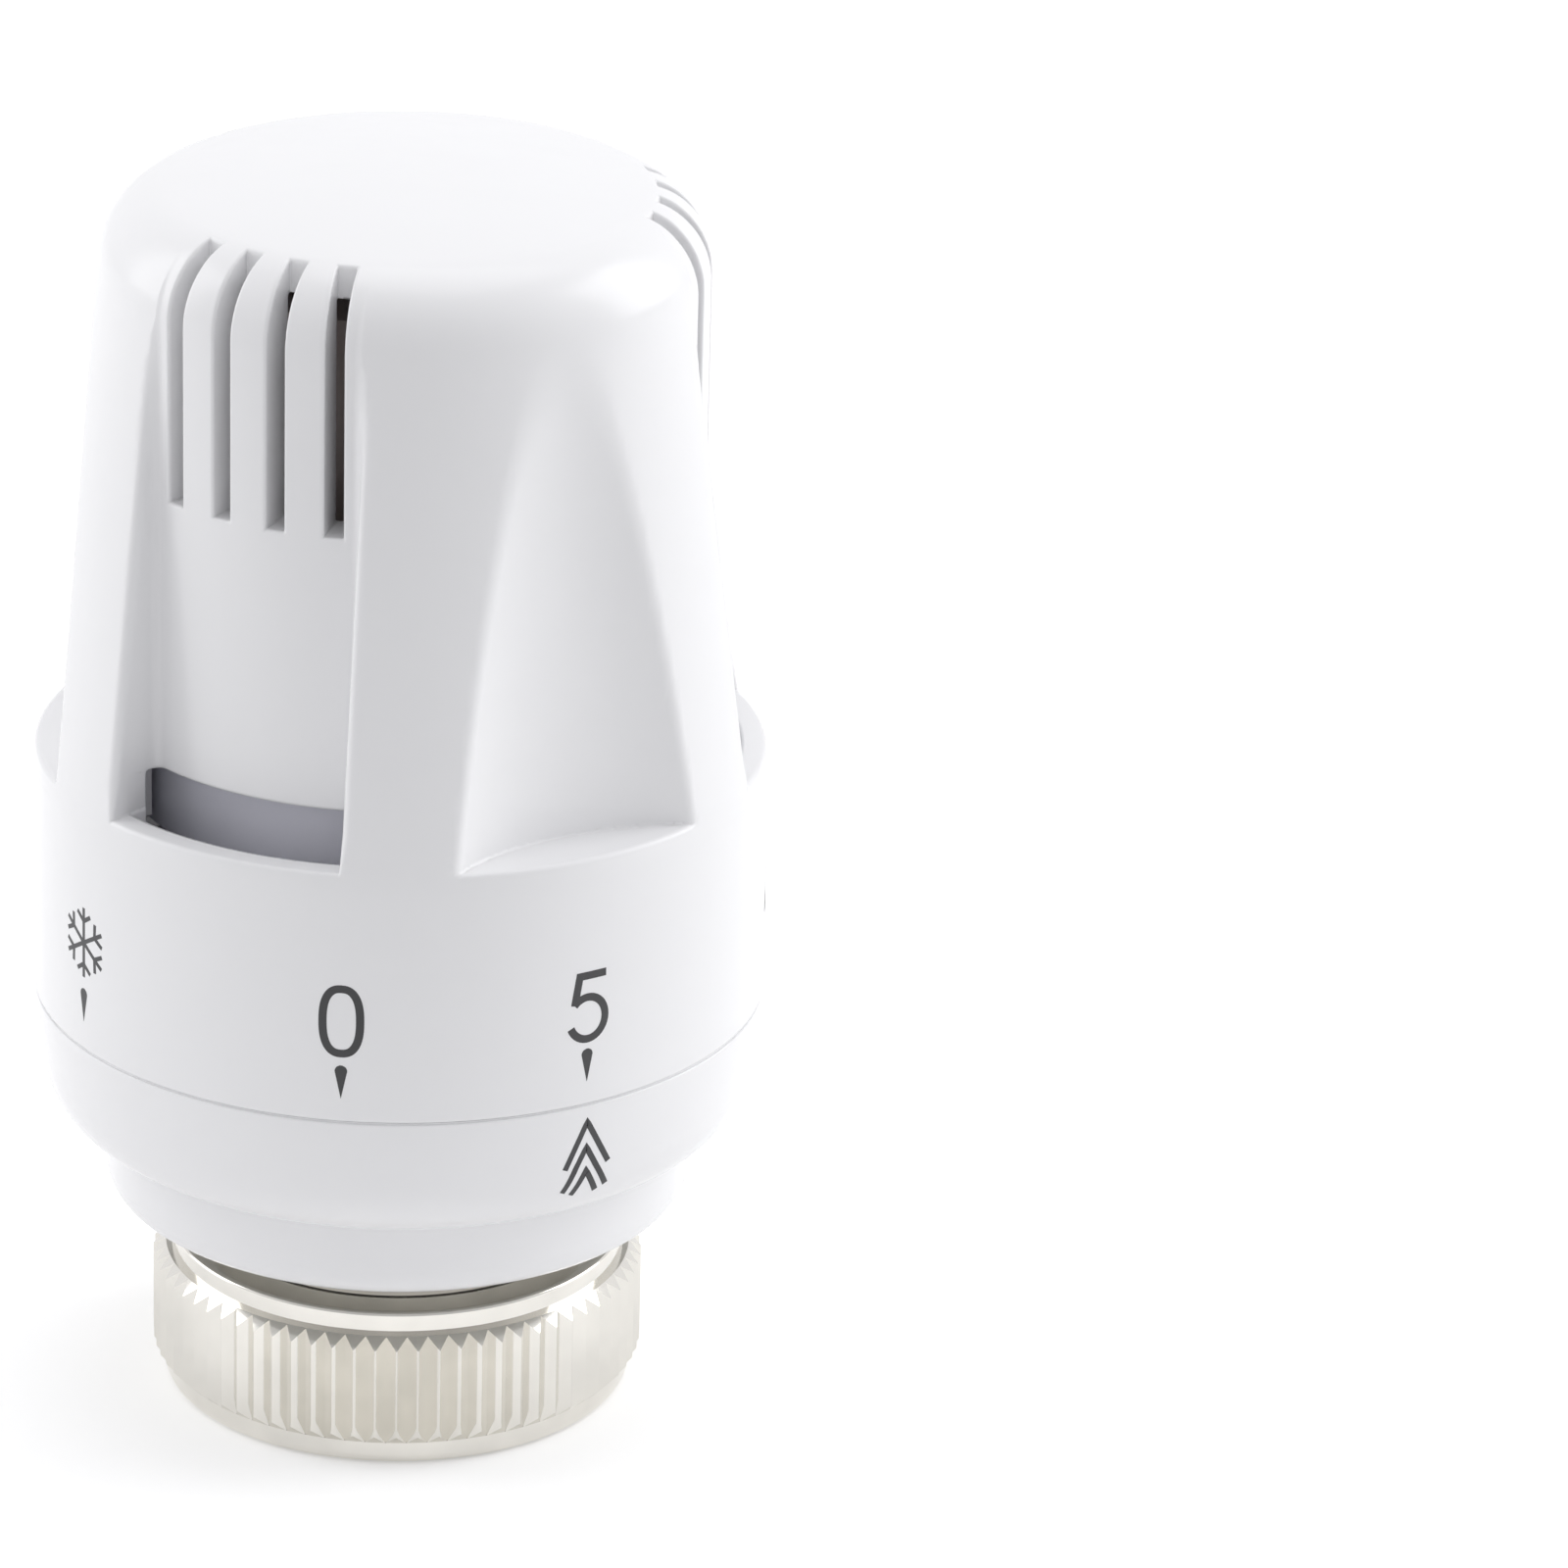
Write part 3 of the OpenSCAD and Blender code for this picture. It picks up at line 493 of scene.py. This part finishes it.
def nut_inside():
    """Inner profile of the nut, from its top down to its lower face."""
    depth = THREAD_DEEP_R - THREAD_R
    half = depth / math.tan(math.radians(60))
    profile = [(NUT_HOLE_R, NUT_TOP_Z), (NUT_HOLE_R, RELIEF_TOP_Z), (THREAD_DEEP_R, RELIEF_TOP_Z),
               (THREAD_DEEP_R, THREAD_END_Z), (THREAD_R, THREAD_END_Z)]
    for n in reversed(range(THREAD_GROOVES)):
        z = THREAD_FIRST_Z + n * THREAD_PITCH
        profile += [(THREAD_R, z + half), (THREAD_DEEP_R, z), (THREAD_R, z - half)]
    return profile + [(THREAD_R, depth), (THREAD_DEEP_R, 0)]


def tooth_r(turn):
    """Radius of a tooth's flank at an angle from its tip, along the straight line from tip to root."""
    half_pitch = math.pi / TOOTH_COUNT
    root_r = TOOTH_R - TOOTH_H
    along, aside = root_r * math.cos(half_pitch) - TOOTH_R, root_r * math.sin(half_pitch)
    return min(TOOTH_R * aside / (aside * math.cos(turn) - along * math.sin(turn)), TOOTH_R - TOOTH_TIP)


def make_nut():
    """Knurled nut: each column's chamfers end where they meet its tooth."""
    half_pitch = math.pi / TOOTH_COUNT
    lower = arc(NUT_RIM_R - NUT_RIM_EDGE, NUT_RIM_EDGE, NUT_RIM_EDGE, -90, 0, 9)
    upper = [(KNURL_TOP_R, KNURL_Z), (NUT_COLLAR_R, KNURL_Z)]
    upper += arc(NUT_COLLAR_R - NUT_COLLAR_EDGE, NUT_TOP_Z - NUT_COLLAR_EDGE, NUT_COLLAR_EDGE, 0, 90, 6)
    upper += nut_inside()
    points = []
    for tooth in range(TOOTH_COUNT):
        for share in TOOTH_SHARES:
            r = tooth_r(abs(share) * half_pitch)
            low = NUT_RIM_H + max(r - NUT_RIM_R, 0)
            high = KNURL_Z - KNURL_SLOPE * (r - KNURL_TOP_R)
            knurl = [(NUT_RIM_R, NUT_RIM_H), (r, low), (r, high)]
            angle = (2 * tooth + share % 2) * half_pitch
            points += [(q * math.cos(angle), q * math.sin(angle), z) for q, z in lower + knurl + upper]
    columns = TOOTH_COUNT * len(TOOTH_SHARES)
    faces = grid_faces(columns, len(points) // columns)
    return add_piece("knurled_nut", points, faces, "nut", "nickel", ["union_nut"], sharp_deg=35)


def make_neck():
    """Plating of the neck that shows between the nut and the foot."""
    inner, outer = NECK_R - SKIN, NECK_R + SKIN
    profile = [(inner, NECK_Z), (outer, NECK_Z), (outer, FOOT_Z), (inner, FOOT_Z)]
    points, faces = turned(profile, NECK_SEGMENTS)
    return add_piece("neck_plating", points, faces, "base", "nickel", sharp_deg=35)


def make_foot_ring():
    """Grey ring of painted shade under the foot, out to where its round edge comes into view, so that the
    nut's chamfers reflect a dark underside.
    """
    profile = [(NECK_R, FOOT_Z - SKIN)]
    profile += arc(FOOT_ROUND_R, FOOT_Z + FOOT_ROUND, FOOT_ROUND + SKIN, -90, -70, 6)
    profile += arc(FOOT_ROUND_R, FOOT_Z + FOOT_ROUND, FOOT_ROUND - SKIN, -70, -90, 6)
    profile += [(NECK_R, FOOT_Z + SKIN)]
    points, faces = turned(profile, NECK_SEGMENTS)
    return add_piece("foot_shade_ring", points, faces, "base", "grey_plastic", sharp_deg=35)


def make_coil(name, node, sizes, body, span):
    """Span of turns of a closed-ended spring in the node's place."""
    radius, wire, turns = sizes
    flats = wire / 2 * (1 - math.cos(math.pi / CAD_WIRE_SIDES))
    z0, z1 = low_z(node) - flats, high_z(node) + flats
    close = wire + END_TURN_GAP
    pitch = (z1 - z0 - wire - 2 * close) / (turns - 2)
    points, middles = [], []
    for n in range(span[0] * POINTS_PER_TURN, span[1] * POINTS_PER_TURN + 1):
        turn = n / POINTS_PER_TURN
        z = z0 + wire / 2 + pitch * min(max(turn - 1, 0), turns - 2)
        z += close * (min(turn, 1) + max(turn - turns + 1, 0))
        middles.append(z)
        angle = 2 * math.pi * turn
        for lean in -2 * math.pi * np.arange(WIRE_SIDES) / WIRE_SIDES:
            r = radius + wire / 2 * math.cos(lean)
            points.append((r * math.cos(angle), r * math.sin(angle), z + wire / 2 * math.sin(lean)))
    faces = grid_faces(len(middles), WIRE_SIDES, ring=False)
    piece = add_piece(name, points, faces, body, "steel", [] if span[0] > 0 else [node], sharp_deg=50)
    shorten(piece)
    return piece


def make_overtravel_coil():
    whole = (0, OVERTRAVEL_COIL[-1])
    return make_coil("overtravel_coil", "overtravel_spring", OVERTRAVEL_COIL, "carrier",
                     whole)


def make_return_coils():
    """Return spring in two stages: the lower one on the base, and the upper one on the carrier."""
    lower, upper = (0, RETURN_SPLIT), (RETURN_SPLIT, RETURN_COIL[-1])
    return (make_coil("return_coil", "return_spring", RETURN_COIL, "base", lower),
            make_coil("return_coil_top", "return_spring", RETURN_COIL, "carrier", upper))


def make_bellows():
    """Folded tube, closed at its top by a disc and with a flange at its foot."""
    node = "sensor_bellows"
    foot, top = low_z(node), high_z(node)
    wave0, wave1 = foot + BELLOWS_FLANGE_H, top - BELLOWS_END_H
    wave = [(BELLOWS_R - BELLOWS_DEEP * (1 - math.cos(2 * math.pi * BELLOWS_FOLDS * t)) / 2,
             wave0 + (wave1 - wave0) * t) for t in np.linspace(0, 1, BELLOWS_FOLDS * FOLD_POINTS + 1)]
    inner = [(r - BELLOWS_WALL, z) for r, z in reversed(wave)]
    bore = BELLOWS_R - BELLOWS_DEEP
    profile = [(bore, foot), (BELLOWS_FLANGE_R, foot), (BELLOWS_FLANGE_R, wave0)] + wave
    profile += [(BELLOWS_R, top), (0, top), (0, wave1)] + inner + [(bore, wave0)]
    points, faces = turned(profile, BELLOWS_SEGMENTS)
    piece = add_piece("bellows_folds", points, faces, "sensor", "brass", [node], sharp_deg=50)
    shorten(piece)
    return piece


# Print on the dial and the index ring
PRINT_H = 0.012
PRINT_SINK = 0.05
PRINT_STEP = 0.25
DIGIT_Z = 36.9
DIGIT_STROKE = 0.55
MITRE_LIMIT = 0.6
DROP_TOP_Z, DROP_TIP_Z, DROP_HALF = 33.75, 31.35, 0.42
DROP_TOP_CUT, DROP_TIP_CUT, DROP_ROWS = 0.01, 0.02, 24
FLAKE_ARM, FLAKE_BRANCH, FLAKE_STROKE = 2.5, 0.98, 0.3
FLAKE_FORK, FLAKE_LEAN = 0.62, 1.0
FLAKE_Z = 37.48
FLAKE_DEG = -57.7
FLAKE_DROP_UP = 0.4
CHEVRON_STROKE = 0.42
CHEVRON_DEG = 30.8
# Each chevron as (place of its apex, height of its ends, half its width)
CHEVRONS = (((-0.25, 28.33), 24.9, 1.68), ((-0.16, 26.38), 23.1, 1.68), ((-0.06, 24.59), 22.75, 0.95))
# Each digit as (front angle in degrees, path of each stroke)
DIGITS = {
    "0": (-8.8, squarish_oval(1.25, 2.3, 0.8)),
    "1": (247.8, [(-0.95, 1.45), (0.25, 2.3), (0.25, -2.5)]),
    "2": (193.3, arc(0, 1.0, 1.3, 165, -40, 25) + [(-1.3, -2.3), (1.45, -2.3)]),
    "3": (138.8, arc(-0.05, 1.1, 1.2, 150, -90, 25) + arc(-0.05, -1.3, (1.4, 1.2), 90, -155, 25)),
    "4": (87.5, [(0.6, -2.5), (0.6, 2.25), (-1.4, -1.05), (1.5, -1.05)]),
    "5": (29.8, [(1.4, 2.1), (-0.62, 2.1), (-0.99, 0.07)], arc(0, -0.95, (1.36, 1.5), 137, -157, 33)),
}


def densified(path):
    """The path with points no further apart than the print's step."""
    points = [np.array(path[0], float)]
    for end in path[1:]:
        start, end = points[-1], np.array(end, float)
        count = math.ceil(np.linalg.norm(end - start) / PRINT_STEP)
        points.extend(start + (end - start) * n / count for n in range(1, count + 1))
    return points


def stroke(path, width):
    """Left and right edges of a stroke along a path, mitred at its corners."""
    points = densified(path)
    closed = np.linalg.norm(points[0] - points[-1]) < 1e-6
    edges = []
    for n, here in enumerate(points):
        before = points[n - 1] if n else points[-2] if closed else None
        after = points[n + 1] if n + 1 < len(points) else points[1] if closed else None
        ways = [] if before is None else [here - before]
        ways += [] if after is None else [after - here]
        ways = [way / np.linalg.norm(way) for way in ways]
        mean = sum(ways) / np.linalg.norm(sum(ways))
        side = np.array((-mean[1], mean[0])) * width / 2 / max(mean @ ways[0], MITRE_LIMIT)
        edges.append((here + side, here - side))
    return edges


def drop_edges(up=0.0):
    """Left and right edges of a drop: a round top that runs to a point."""
    middle = DROP_TOP_Z - DROP_HALF
    edges = []
    for z in np.linspace(DROP_TOP_Z - DROP_TOP_CUT, DROP_TIP_Z + DROP_TIP_CUT, DROP_ROWS):
        if z > middle:
            half = math.sqrt(DROP_HALF ** 2 - (z - middle) ** 2)
        else:
            half = DROP_HALF * (z - DROP_TIP_Z) / (middle - DROP_TIP_Z)
        edges.append((np.array((half, z + up)), np.array((-half, z + up))))
    return edges


def print_piece(name, strips, front_deg, surface_r, body):
    """Thin ink on a turned surface, from strips of (left, right) edges in arc length and height."""
    points, faces = [], []
    for strip in strips:
        start = len(points)
        for left, right in strip:
            top, foot = PRINT_H, -PRINT_SINK
            for (s, z), lift in ((left, top), (right, top), (right, foot), (left, foot)):
                r = surface_r(z)
                angle = math.radians(front_deg - 90) + s / r
                points.append(((r + lift) * math.cos(angle), (r + lift) * math.sin(angle), z))
        faces += [[start + n for n in face] for face in grid_faces(len(strip), 4, ring=False)]
    return add_piece(name, points, faces, body, "dark_plastic", sharp_deg=40)


def flake_paths():
    """Snowflake of six arms, each with a pair of branches."""
    paths = []
    for turn in np.radians(np.arange(30, 390, 60)):
        way = np.array((math.cos(turn), math.sin(turn)))
        fork = way * FLAKE_ARM * FLAKE_FORK
        paths.append([(0, 0), way * FLAKE_ARM])
        for lean in (turn - FLAKE_LEAN, turn + FLAKE_LEAN):
            paths.append([fork, fork + FLAKE_BRANCH * np.array((math.cos(lean), math.sin(lean)))])
    return paths


def make_prints():
    inks = []
    for digit, (front_deg, *paths) in DIGITS.items():
        strips = [stroke([(s, DIGIT_Z + z) for s, z in path], DIGIT_STROKE) for path in paths]
        inks.append(print_piece("digit_" + digit, strips, front_deg, skirt_r, "dial"))
        inks.append(print_piece("drop_" + digit, [drop_edges()], front_deg, skirt_r, "dial"))
    strips = [stroke([(s, FLAKE_Z + z) for s, z in path], FLAKE_STROKE) for path in flake_paths()]
    inks.append(print_piece("snowflake", strips, FLAKE_DEG, skirt_r, "dial"))
    inks.append(print_piece("drop_snowflake", [drop_edges(FLAKE_DROP_UP)], FLAKE_DEG, skirt_r, "dial"))
    for n, (apex, end, half) in enumerate(CHEVRONS):
        strip = stroke([(-half, end), apex, (half, end)], CHEVRON_STROKE)
        inks.append(print_piece(f"index_chevron_{n + 1}", [strip], CHEVRON_DEG, index_r, "base"))
    return inks


# Materials: where most of a noise's values lie, and the size and the share of what is uneven
NOISE_LOW, NOISE_HIGH = 0.3, 0.7
CLOUD_SIZE, PATCH_SIZE, PLASTIC_UNEVEN = 14, 3, 0.07
TARNISH_SIZE, STREAK_SIZE, MARK_SIZE, METAL_UNEVEN = 4, 1.5, 0.6, 0.25
ROUND_MARKS = (0.1, 0.1, 2.0)


def new_material(name):
    material = bpy.data.materials.new(name)
    material.use_nodes = True
    return material, material.node_tree, material.node_tree.nodes["Principled BSDF"]


def noise(tree, size, detail=2.0, stretch=(1, 1, 1)):
    """Noise whose lumps are about size millimetres across, on the object's own coordinates."""
    coordinates = tree.nodes.new("ShaderNodeTexCoord")
    mapping = tree.nodes.new("ShaderNodeMapping")
    mapping.inputs["Scale"].default_value = stretch
    texture = tree.nodes.new("ShaderNodeTexNoise")
    texture.inputs["Scale"].default_value = 1 / (size * MM)
    texture.inputs["Detail"].default_value = detail
    tree.links.new(coordinates.outputs["Object"], mapping.inputs["Vector"])
    tree.links.new(mapping.outputs["Vector"], texture.inputs["Vector"])
    return texture.outputs["Fac"]


def vary_colour(tree, bsdf, fac, colour, spread):
    """Base colour that runs from a little darker to the colour itself."""
    ramp = tree.nodes.new("ShaderNodeValToRGB")
    low, high = ramp.color_ramp.elements
    low.position, high.position = NOISE_LOW, NOISE_HIGH
    low.color = (*(c * (1 - spread) for c in colour), 1)
    high.color = (*colour, 1)
    tree.links.new(fac, ramp.inputs["Fac"])
    tree.links.new(ramp.outputs["Color"], bsdf.inputs["Base Color"])


def vary_roughness(tree, bsdf, fac, rough, uneven):
    span = tree.nodes.new("ShaderNodeMapRange")
    span.inputs["From Min"].default_value, span.inputs["From Max"].default_value = NOISE_LOW, NOISE_HIGH
    span.inputs["To Min"].default_value = rough * (1 - uneven)
    span.inputs["To Max"].default_value = rough * (1 + uneven)
    tree.links.new(fac, span.inputs["Value"])
    tree.links.new(span.outputs["Result"], bsdf.inputs["Roughness"])


def add_bump(tree, bsdf, fac, depth):
    bump = tree.nodes.new("ShaderNodeBump")
    bump.inputs["Distance"].default_value = depth * MM
    tree.links.new(fac, bump.inputs["Height"])
    tree.links.new(bump.outputs["Normal"], bsdf.inputs["Normal"])


def plastic(name, colour, rough, grain, depth, spread):
    """Moulded plastic: faint cloudiness, uneven gloss and the grain of the mould."""
    material, tree, bsdf = new_material(name)
    vary_colour(tree, bsdf, noise(tree, CLOUD_SIZE), colour, spread)
    vary_roughness(tree, bsdf, noise(tree, PATCH_SIZE), rough, PLASTIC_UNEVEN)
    add_bump(tree, bsdf, noise(tree, grain), depth)
    return material


def metal(name, colour, rough, depth, spread=0.08):
    """Turned or drawn metal: slight tarnish, uneven gloss and fine marks round the axis."""
    material, tree, bsdf = new_material(name)
    bsdf.inputs["Metallic"].default_value = 1
    vary_colour(tree, bsdf, noise(tree, TARNISH_SIZE), colour, spread)
    vary_roughness(tree, bsdf, noise(tree, STREAK_SIZE, stretch=ROUND_MARKS), rough, METAL_UNEVEN)
    add_bump(tree, bsdf, noise(tree, MARK_SIZE, stretch=ROUND_MARKS), depth)
    return material


# Colour of the print, and of nodes seen through the gap and the slots that differ from their slot's colour.
# The carrier's white has a blue tint that is painted cool shade of the hollow, and the spring cap is painted
# much lighter than dark plastic, as painted light inside the head.
INK_COLOUR = (0.055, 0.055, 0.058)
SEEN_COLOURS_WITH_PAINTED_LIGHT = {"sensor_carrier": (0.81, 0.81, 0.89), "spring_cap": (0.42, 0.36, 0.34)}


def make_materials():
    colours = {row["slot"]: row["base_color"] for row in frame["record"]["materials"]}
    return {
        "white_plastic": plastic("white_plastic", colours["white_plastic"],
                                 rough=0.24, grain=2.5, depth=0.0005, spread=0.012),
        "dark_plastic": plastic("dark_plastic", colours["dark_plastic"],
                                rough=0.5, grain=0.25, depth=0.01, spread=0.2),
        "grey_plastic": plastic("grey_plastic", colours["grey_plastic"],
                                rough=0.42, grain=0.4, depth=0.006, spread=0.06),
        "rubber": plastic("rubber", colours["rubber"], rough=0.6, grain=0.3, depth=0.012, spread=0.25),
        "nickel": metal("nickel", colours["nickel"], rough=0.1, depth=0.001),
        "steel": metal("steel", colours["steel"], rough=0.3, depth=0.002),
        "brass": metal("brass", colours["brass"], rough=0.26, depth=0.002),
        "copper": metal("copper", colours["copper"], rough=0.28, depth=0.002),
    }


def make_ink():
    return plastic("print_ink", INK_COLOUR, rough=0.45, grain=0.2, depth=0.002, spread=0.25)


def dress(piece, material):
    piece.data.materials.clear()
    piece.data.materials.append(material)


def dress_all(pieces, inks):
    materials = make_materials()
    for piece in pieces:
        dress(piece, materials[piece["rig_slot"]])
    for row in frame["record"]["subparts"]:
        dress(frame["nodes"][row["node"]], materials[row["material_slot"]])
    # Carrier with a painted blue tint of shade, and spring cap lightened with painted light
    for node, colour in SEEN_COLOURS_WITH_PAINTED_LIGHT.items():
        seen = plastic(node + "_plastic", colour, rough=0.35, grain=2.5, depth=0.002, spread=0.05)
        dress(frame["nodes"][node], seen)
    ink = make_ink()
    for piece in inks:
        dress(piece, ink)


# Camera, fitted to the photograph
CAM_DISTANCE = 552.156
CAM_ELEVATION = math.radians(22.342)
CAM_TARGET = Vector((0, 0, 43.66))
CAM_ROLL = 0.008591
FOCAL_PX = 8277.5
IMAGE_PX = 1600
OBJECT_PX = Vector((409.33, 799.59))
SENSOR = 36.0


def make_camera():
    """Camera turned, not shifted, so that the object stands left of the middle as in the photograph."""
    back = Vector((0, -math.cos(CAM_ELEVATION), math.sin(CAM_ELEVATION)))
    level = Vector((1, 0, 0))
    upright = back.cross(level)
    right = level * math.cos(CAM_ROLL) + upright * math.sin(CAM_ROLL)
    up = upright * math.cos(CAM_ROLL) - level * math.sin(CAM_ROLL)
    off = Vector((IMAGE_PX / 2, IMAGE_PX / 2)) - OBJECT_PX
    aim = (right * off.x - up * off.y - back * FOCAL_PX).normalized()
    right = (right - aim * right.dot(aim)).normalized()
    data = bpy.data.cameras.new("camera")
    data.sensor_width = SENSOR
    data.lens = SENSOR * FOCAL_PX / IMAGE_PX * -aim.dot(back)
    camera = bpy.data.objects.new("camera", data)
    turn = Matrix((right, right.cross(aim), -aim)).transposed().to_4x4()
    camera.matrix_world = Matrix.Translation((CAM_TARGET + back * CAM_DISTANCE) * MM) @ turn
    scene.collection.objects.link(camera)
    scene.camera = camera


# Floor and light
FLOOR_HALF = 1500
FLOOR_FRONT_Y = -125
FLOOR_DROP = 0.05
FLOOR_GLOW = 0.25
FLOOR_COLOUR = 0.92
WORLD_COLOUR = (0.98, 0.98, 1)
WORLD_FRONT, WORLD_SIDE, WORLD_BACK = 0.62, 0.83, 0.5
WORLD_FRONT_Y, WORLD_SIDE_Y, WORLD_BACK_Y = -0.9, 0.2, 0.9
# Each lamp as (place, size of its face, watts)
LAMPS = {
    "left": ((-620, 160, 330), (420, 620), 1.45),
    "right": ((640, 120, 360), (420, 620), 2.2),
    "top": ((60, 120, 760), (520, 520), 0.8),
}


def ray_is(tree, first, *others):
    """1 for rays of the given kinds."""
    path = tree.nodes.new("ShaderNodeLightPath")
    result = path.outputs[first]
    for ray in others:
        either = tree.nodes.new("ShaderNodeMath")
        either.operation = "MAXIMUM"
        tree.links.new(result, either.inputs[0])
        tree.links.new(path.outputs[ray], either.inputs[1])
        result = either.outputs[0]
    return result


def make_floor():
    """White floor: glow for the rays that see it, and a matt surface that takes the shadow."""
    half, front, z = FLOOR_HALF * MM, FLOOR_FRONT_Y * MM, -FLOOR_DROP * MM
    mesh = bpy.data.meshes.new("floor")
    corners = [(-half, front, z), (half, front, z), (half, half, z), (-half, half, z)]
    mesh.from_pydata(corners, [], [(0, 1, 2, 3)])
    floor = bpy.data.objects.new("floor", mesh)
    scene.collection.objects.link(floor)
    material = bpy.data.materials.new("floor")
    material.use_nodes = True
    tree = material.node_tree
    tree.nodes.clear()
    matt = tree.nodes.new("ShaderNodeBsdfDiffuse")
    matt.inputs["Color"].default_value = (FLOOR_COLOUR, FLOOR_COLOUR, FLOOR_COLOUR, 1)
    glow = tree.nodes.new("ShaderNodeEmission")
    strength = tree.nodes.new("ShaderNodeMath")
    strength.operation = "MULTIPLY"
    strength.inputs[1].default_value = FLOOR_GLOW
    both = tree.nodes.new("ShaderNodeAddShader")
    out = tree.nodes.new("ShaderNodeOutputMaterial")
    seen = ray_is(tree, "Is Camera Ray", "Is Glossy Ray", "Is Transmission Ray")
    tree.links.new(seen, strength.inputs[0])
    tree.links.new(strength.outputs[0], glow.inputs["Strength"])
    tree.links.new(matt.outputs[0], both.inputs[0])
    tree.links.new(glow.outputs[0], both.inputs[1])
    tree.links.new(both.outputs[0], out.inputs["Surface"])
    dress(floor, material)


def ramp_of(tree, value, start, end):
    """Smooth step of a value from start to end, whose two levels are still to be set."""
    span = tree.nodes.new("ShaderNodeMapRange")
    span.interpolation_type = "SMOOTHSTEP"
    span.inputs["From Min"].default_value, span.inputs["From Max"].default_value = start, end
    tree.links.new(value, span.inputs["Value"])
    return span


def white_where(tree, factor, level):
    """The level, or 1 for the rays that the factor picks."""
    mix = tree.nodes.new("ShaderNodeMix")
    mix.inputs["A"].default_value, mix.inputs["B"].default_value = level, 1
    tree.links.new(factor, mix.inputs["Factor"])
    return mix


def make_world():
    """Studio brightest at its sides, where metal sees sides and back as white, and the camera all of it."""
    world = bpy.data.worlds.new("studio")
    scene.world = world
    world.use_nodes = True
    tree = world.node_tree
    tree.nodes.clear()
    coordinates = tree.nodes.new("ShaderNodeTexCoord")
    split = tree.nodes.new("ShaderNodeSeparateXYZ")
    sky = tree.nodes.new("ShaderNodeBackground")
    sky.inputs["Color"].default_value = (*WORLD_COLOUR, 1)
    out = tree.nodes.new("ShaderNodeOutputWorld")
    tree.links.new(coordinates.outputs["Generated"], split.inputs[0])
    mirrored = ray_is(tree, "Is Glossy Ray", "Is Transmission Ray")
    to_side = ramp_of(tree, split.outputs["Y"], WORLD_FRONT_Y, WORLD_SIDE_Y)
    to_side.inputs["To Min"].default_value = WORLD_FRONT
    to_back = ramp_of(tree, split.outputs["Y"], WORLD_SIDE_Y, WORLD_BACK_Y)
    side = white_where(tree, mirrored, WORLD_SIDE)
    back = white_where(tree, mirrored, WORLD_BACK / WORLD_SIDE)
    tree.links.new(side.outputs["Result"], to_side.inputs["To Max"])
    to_back.inputs["To Min"].default_value = 1
    tree.links.new(back.outputs["Result"], to_back.inputs["To Max"])
    level = tree.nodes.new("ShaderNodeMath")
    level.operation = "MULTIPLY"
    tree.links.new(to_side.outputs["Result"], level.inputs[0])
    tree.links.new(to_back.outputs["Result"], level.inputs[1])
    choose = white_where(tree, ray_is(tree, "Is Camera Ray"), 0)
    tree.links.new(level.outputs[0], choose.inputs["A"])
    tree.links.new(choose.outputs["Result"], sky.inputs["Strength"])
    tree.links.new(sky.outputs[0], out.inputs["Surface"])


def make_lamps():
    for name, (place, size, power) in LAMPS.items():
        data = bpy.data.lights.new(name, "AREA")
        data.shape = "RECTANGLE"
        data.size, data.size_y = size[0] * MM, size[1] * MM
        data.energy = power
        lamp = bpy.data.objects.new(name, data)
        lamp.location = Vector(place) * MM
        lamp.rotation_euler = (CAM_TARGET - Vector(place)).to_track_quat("-Z", "Y").to_euler()
        scene.collection.objects.link(lamp)


make_camera()
pieces = [
    make_dial(), make_index_band(), make_nut(), make_neck(), make_foot_ring(), make_bellows(),
    make_overtravel_coil(), *make_return_coils(),
]
dress_all(pieces, make_prints())
make_floor()
make_world()
make_lamps()
scene.view_settings.view_transform = "Standard"
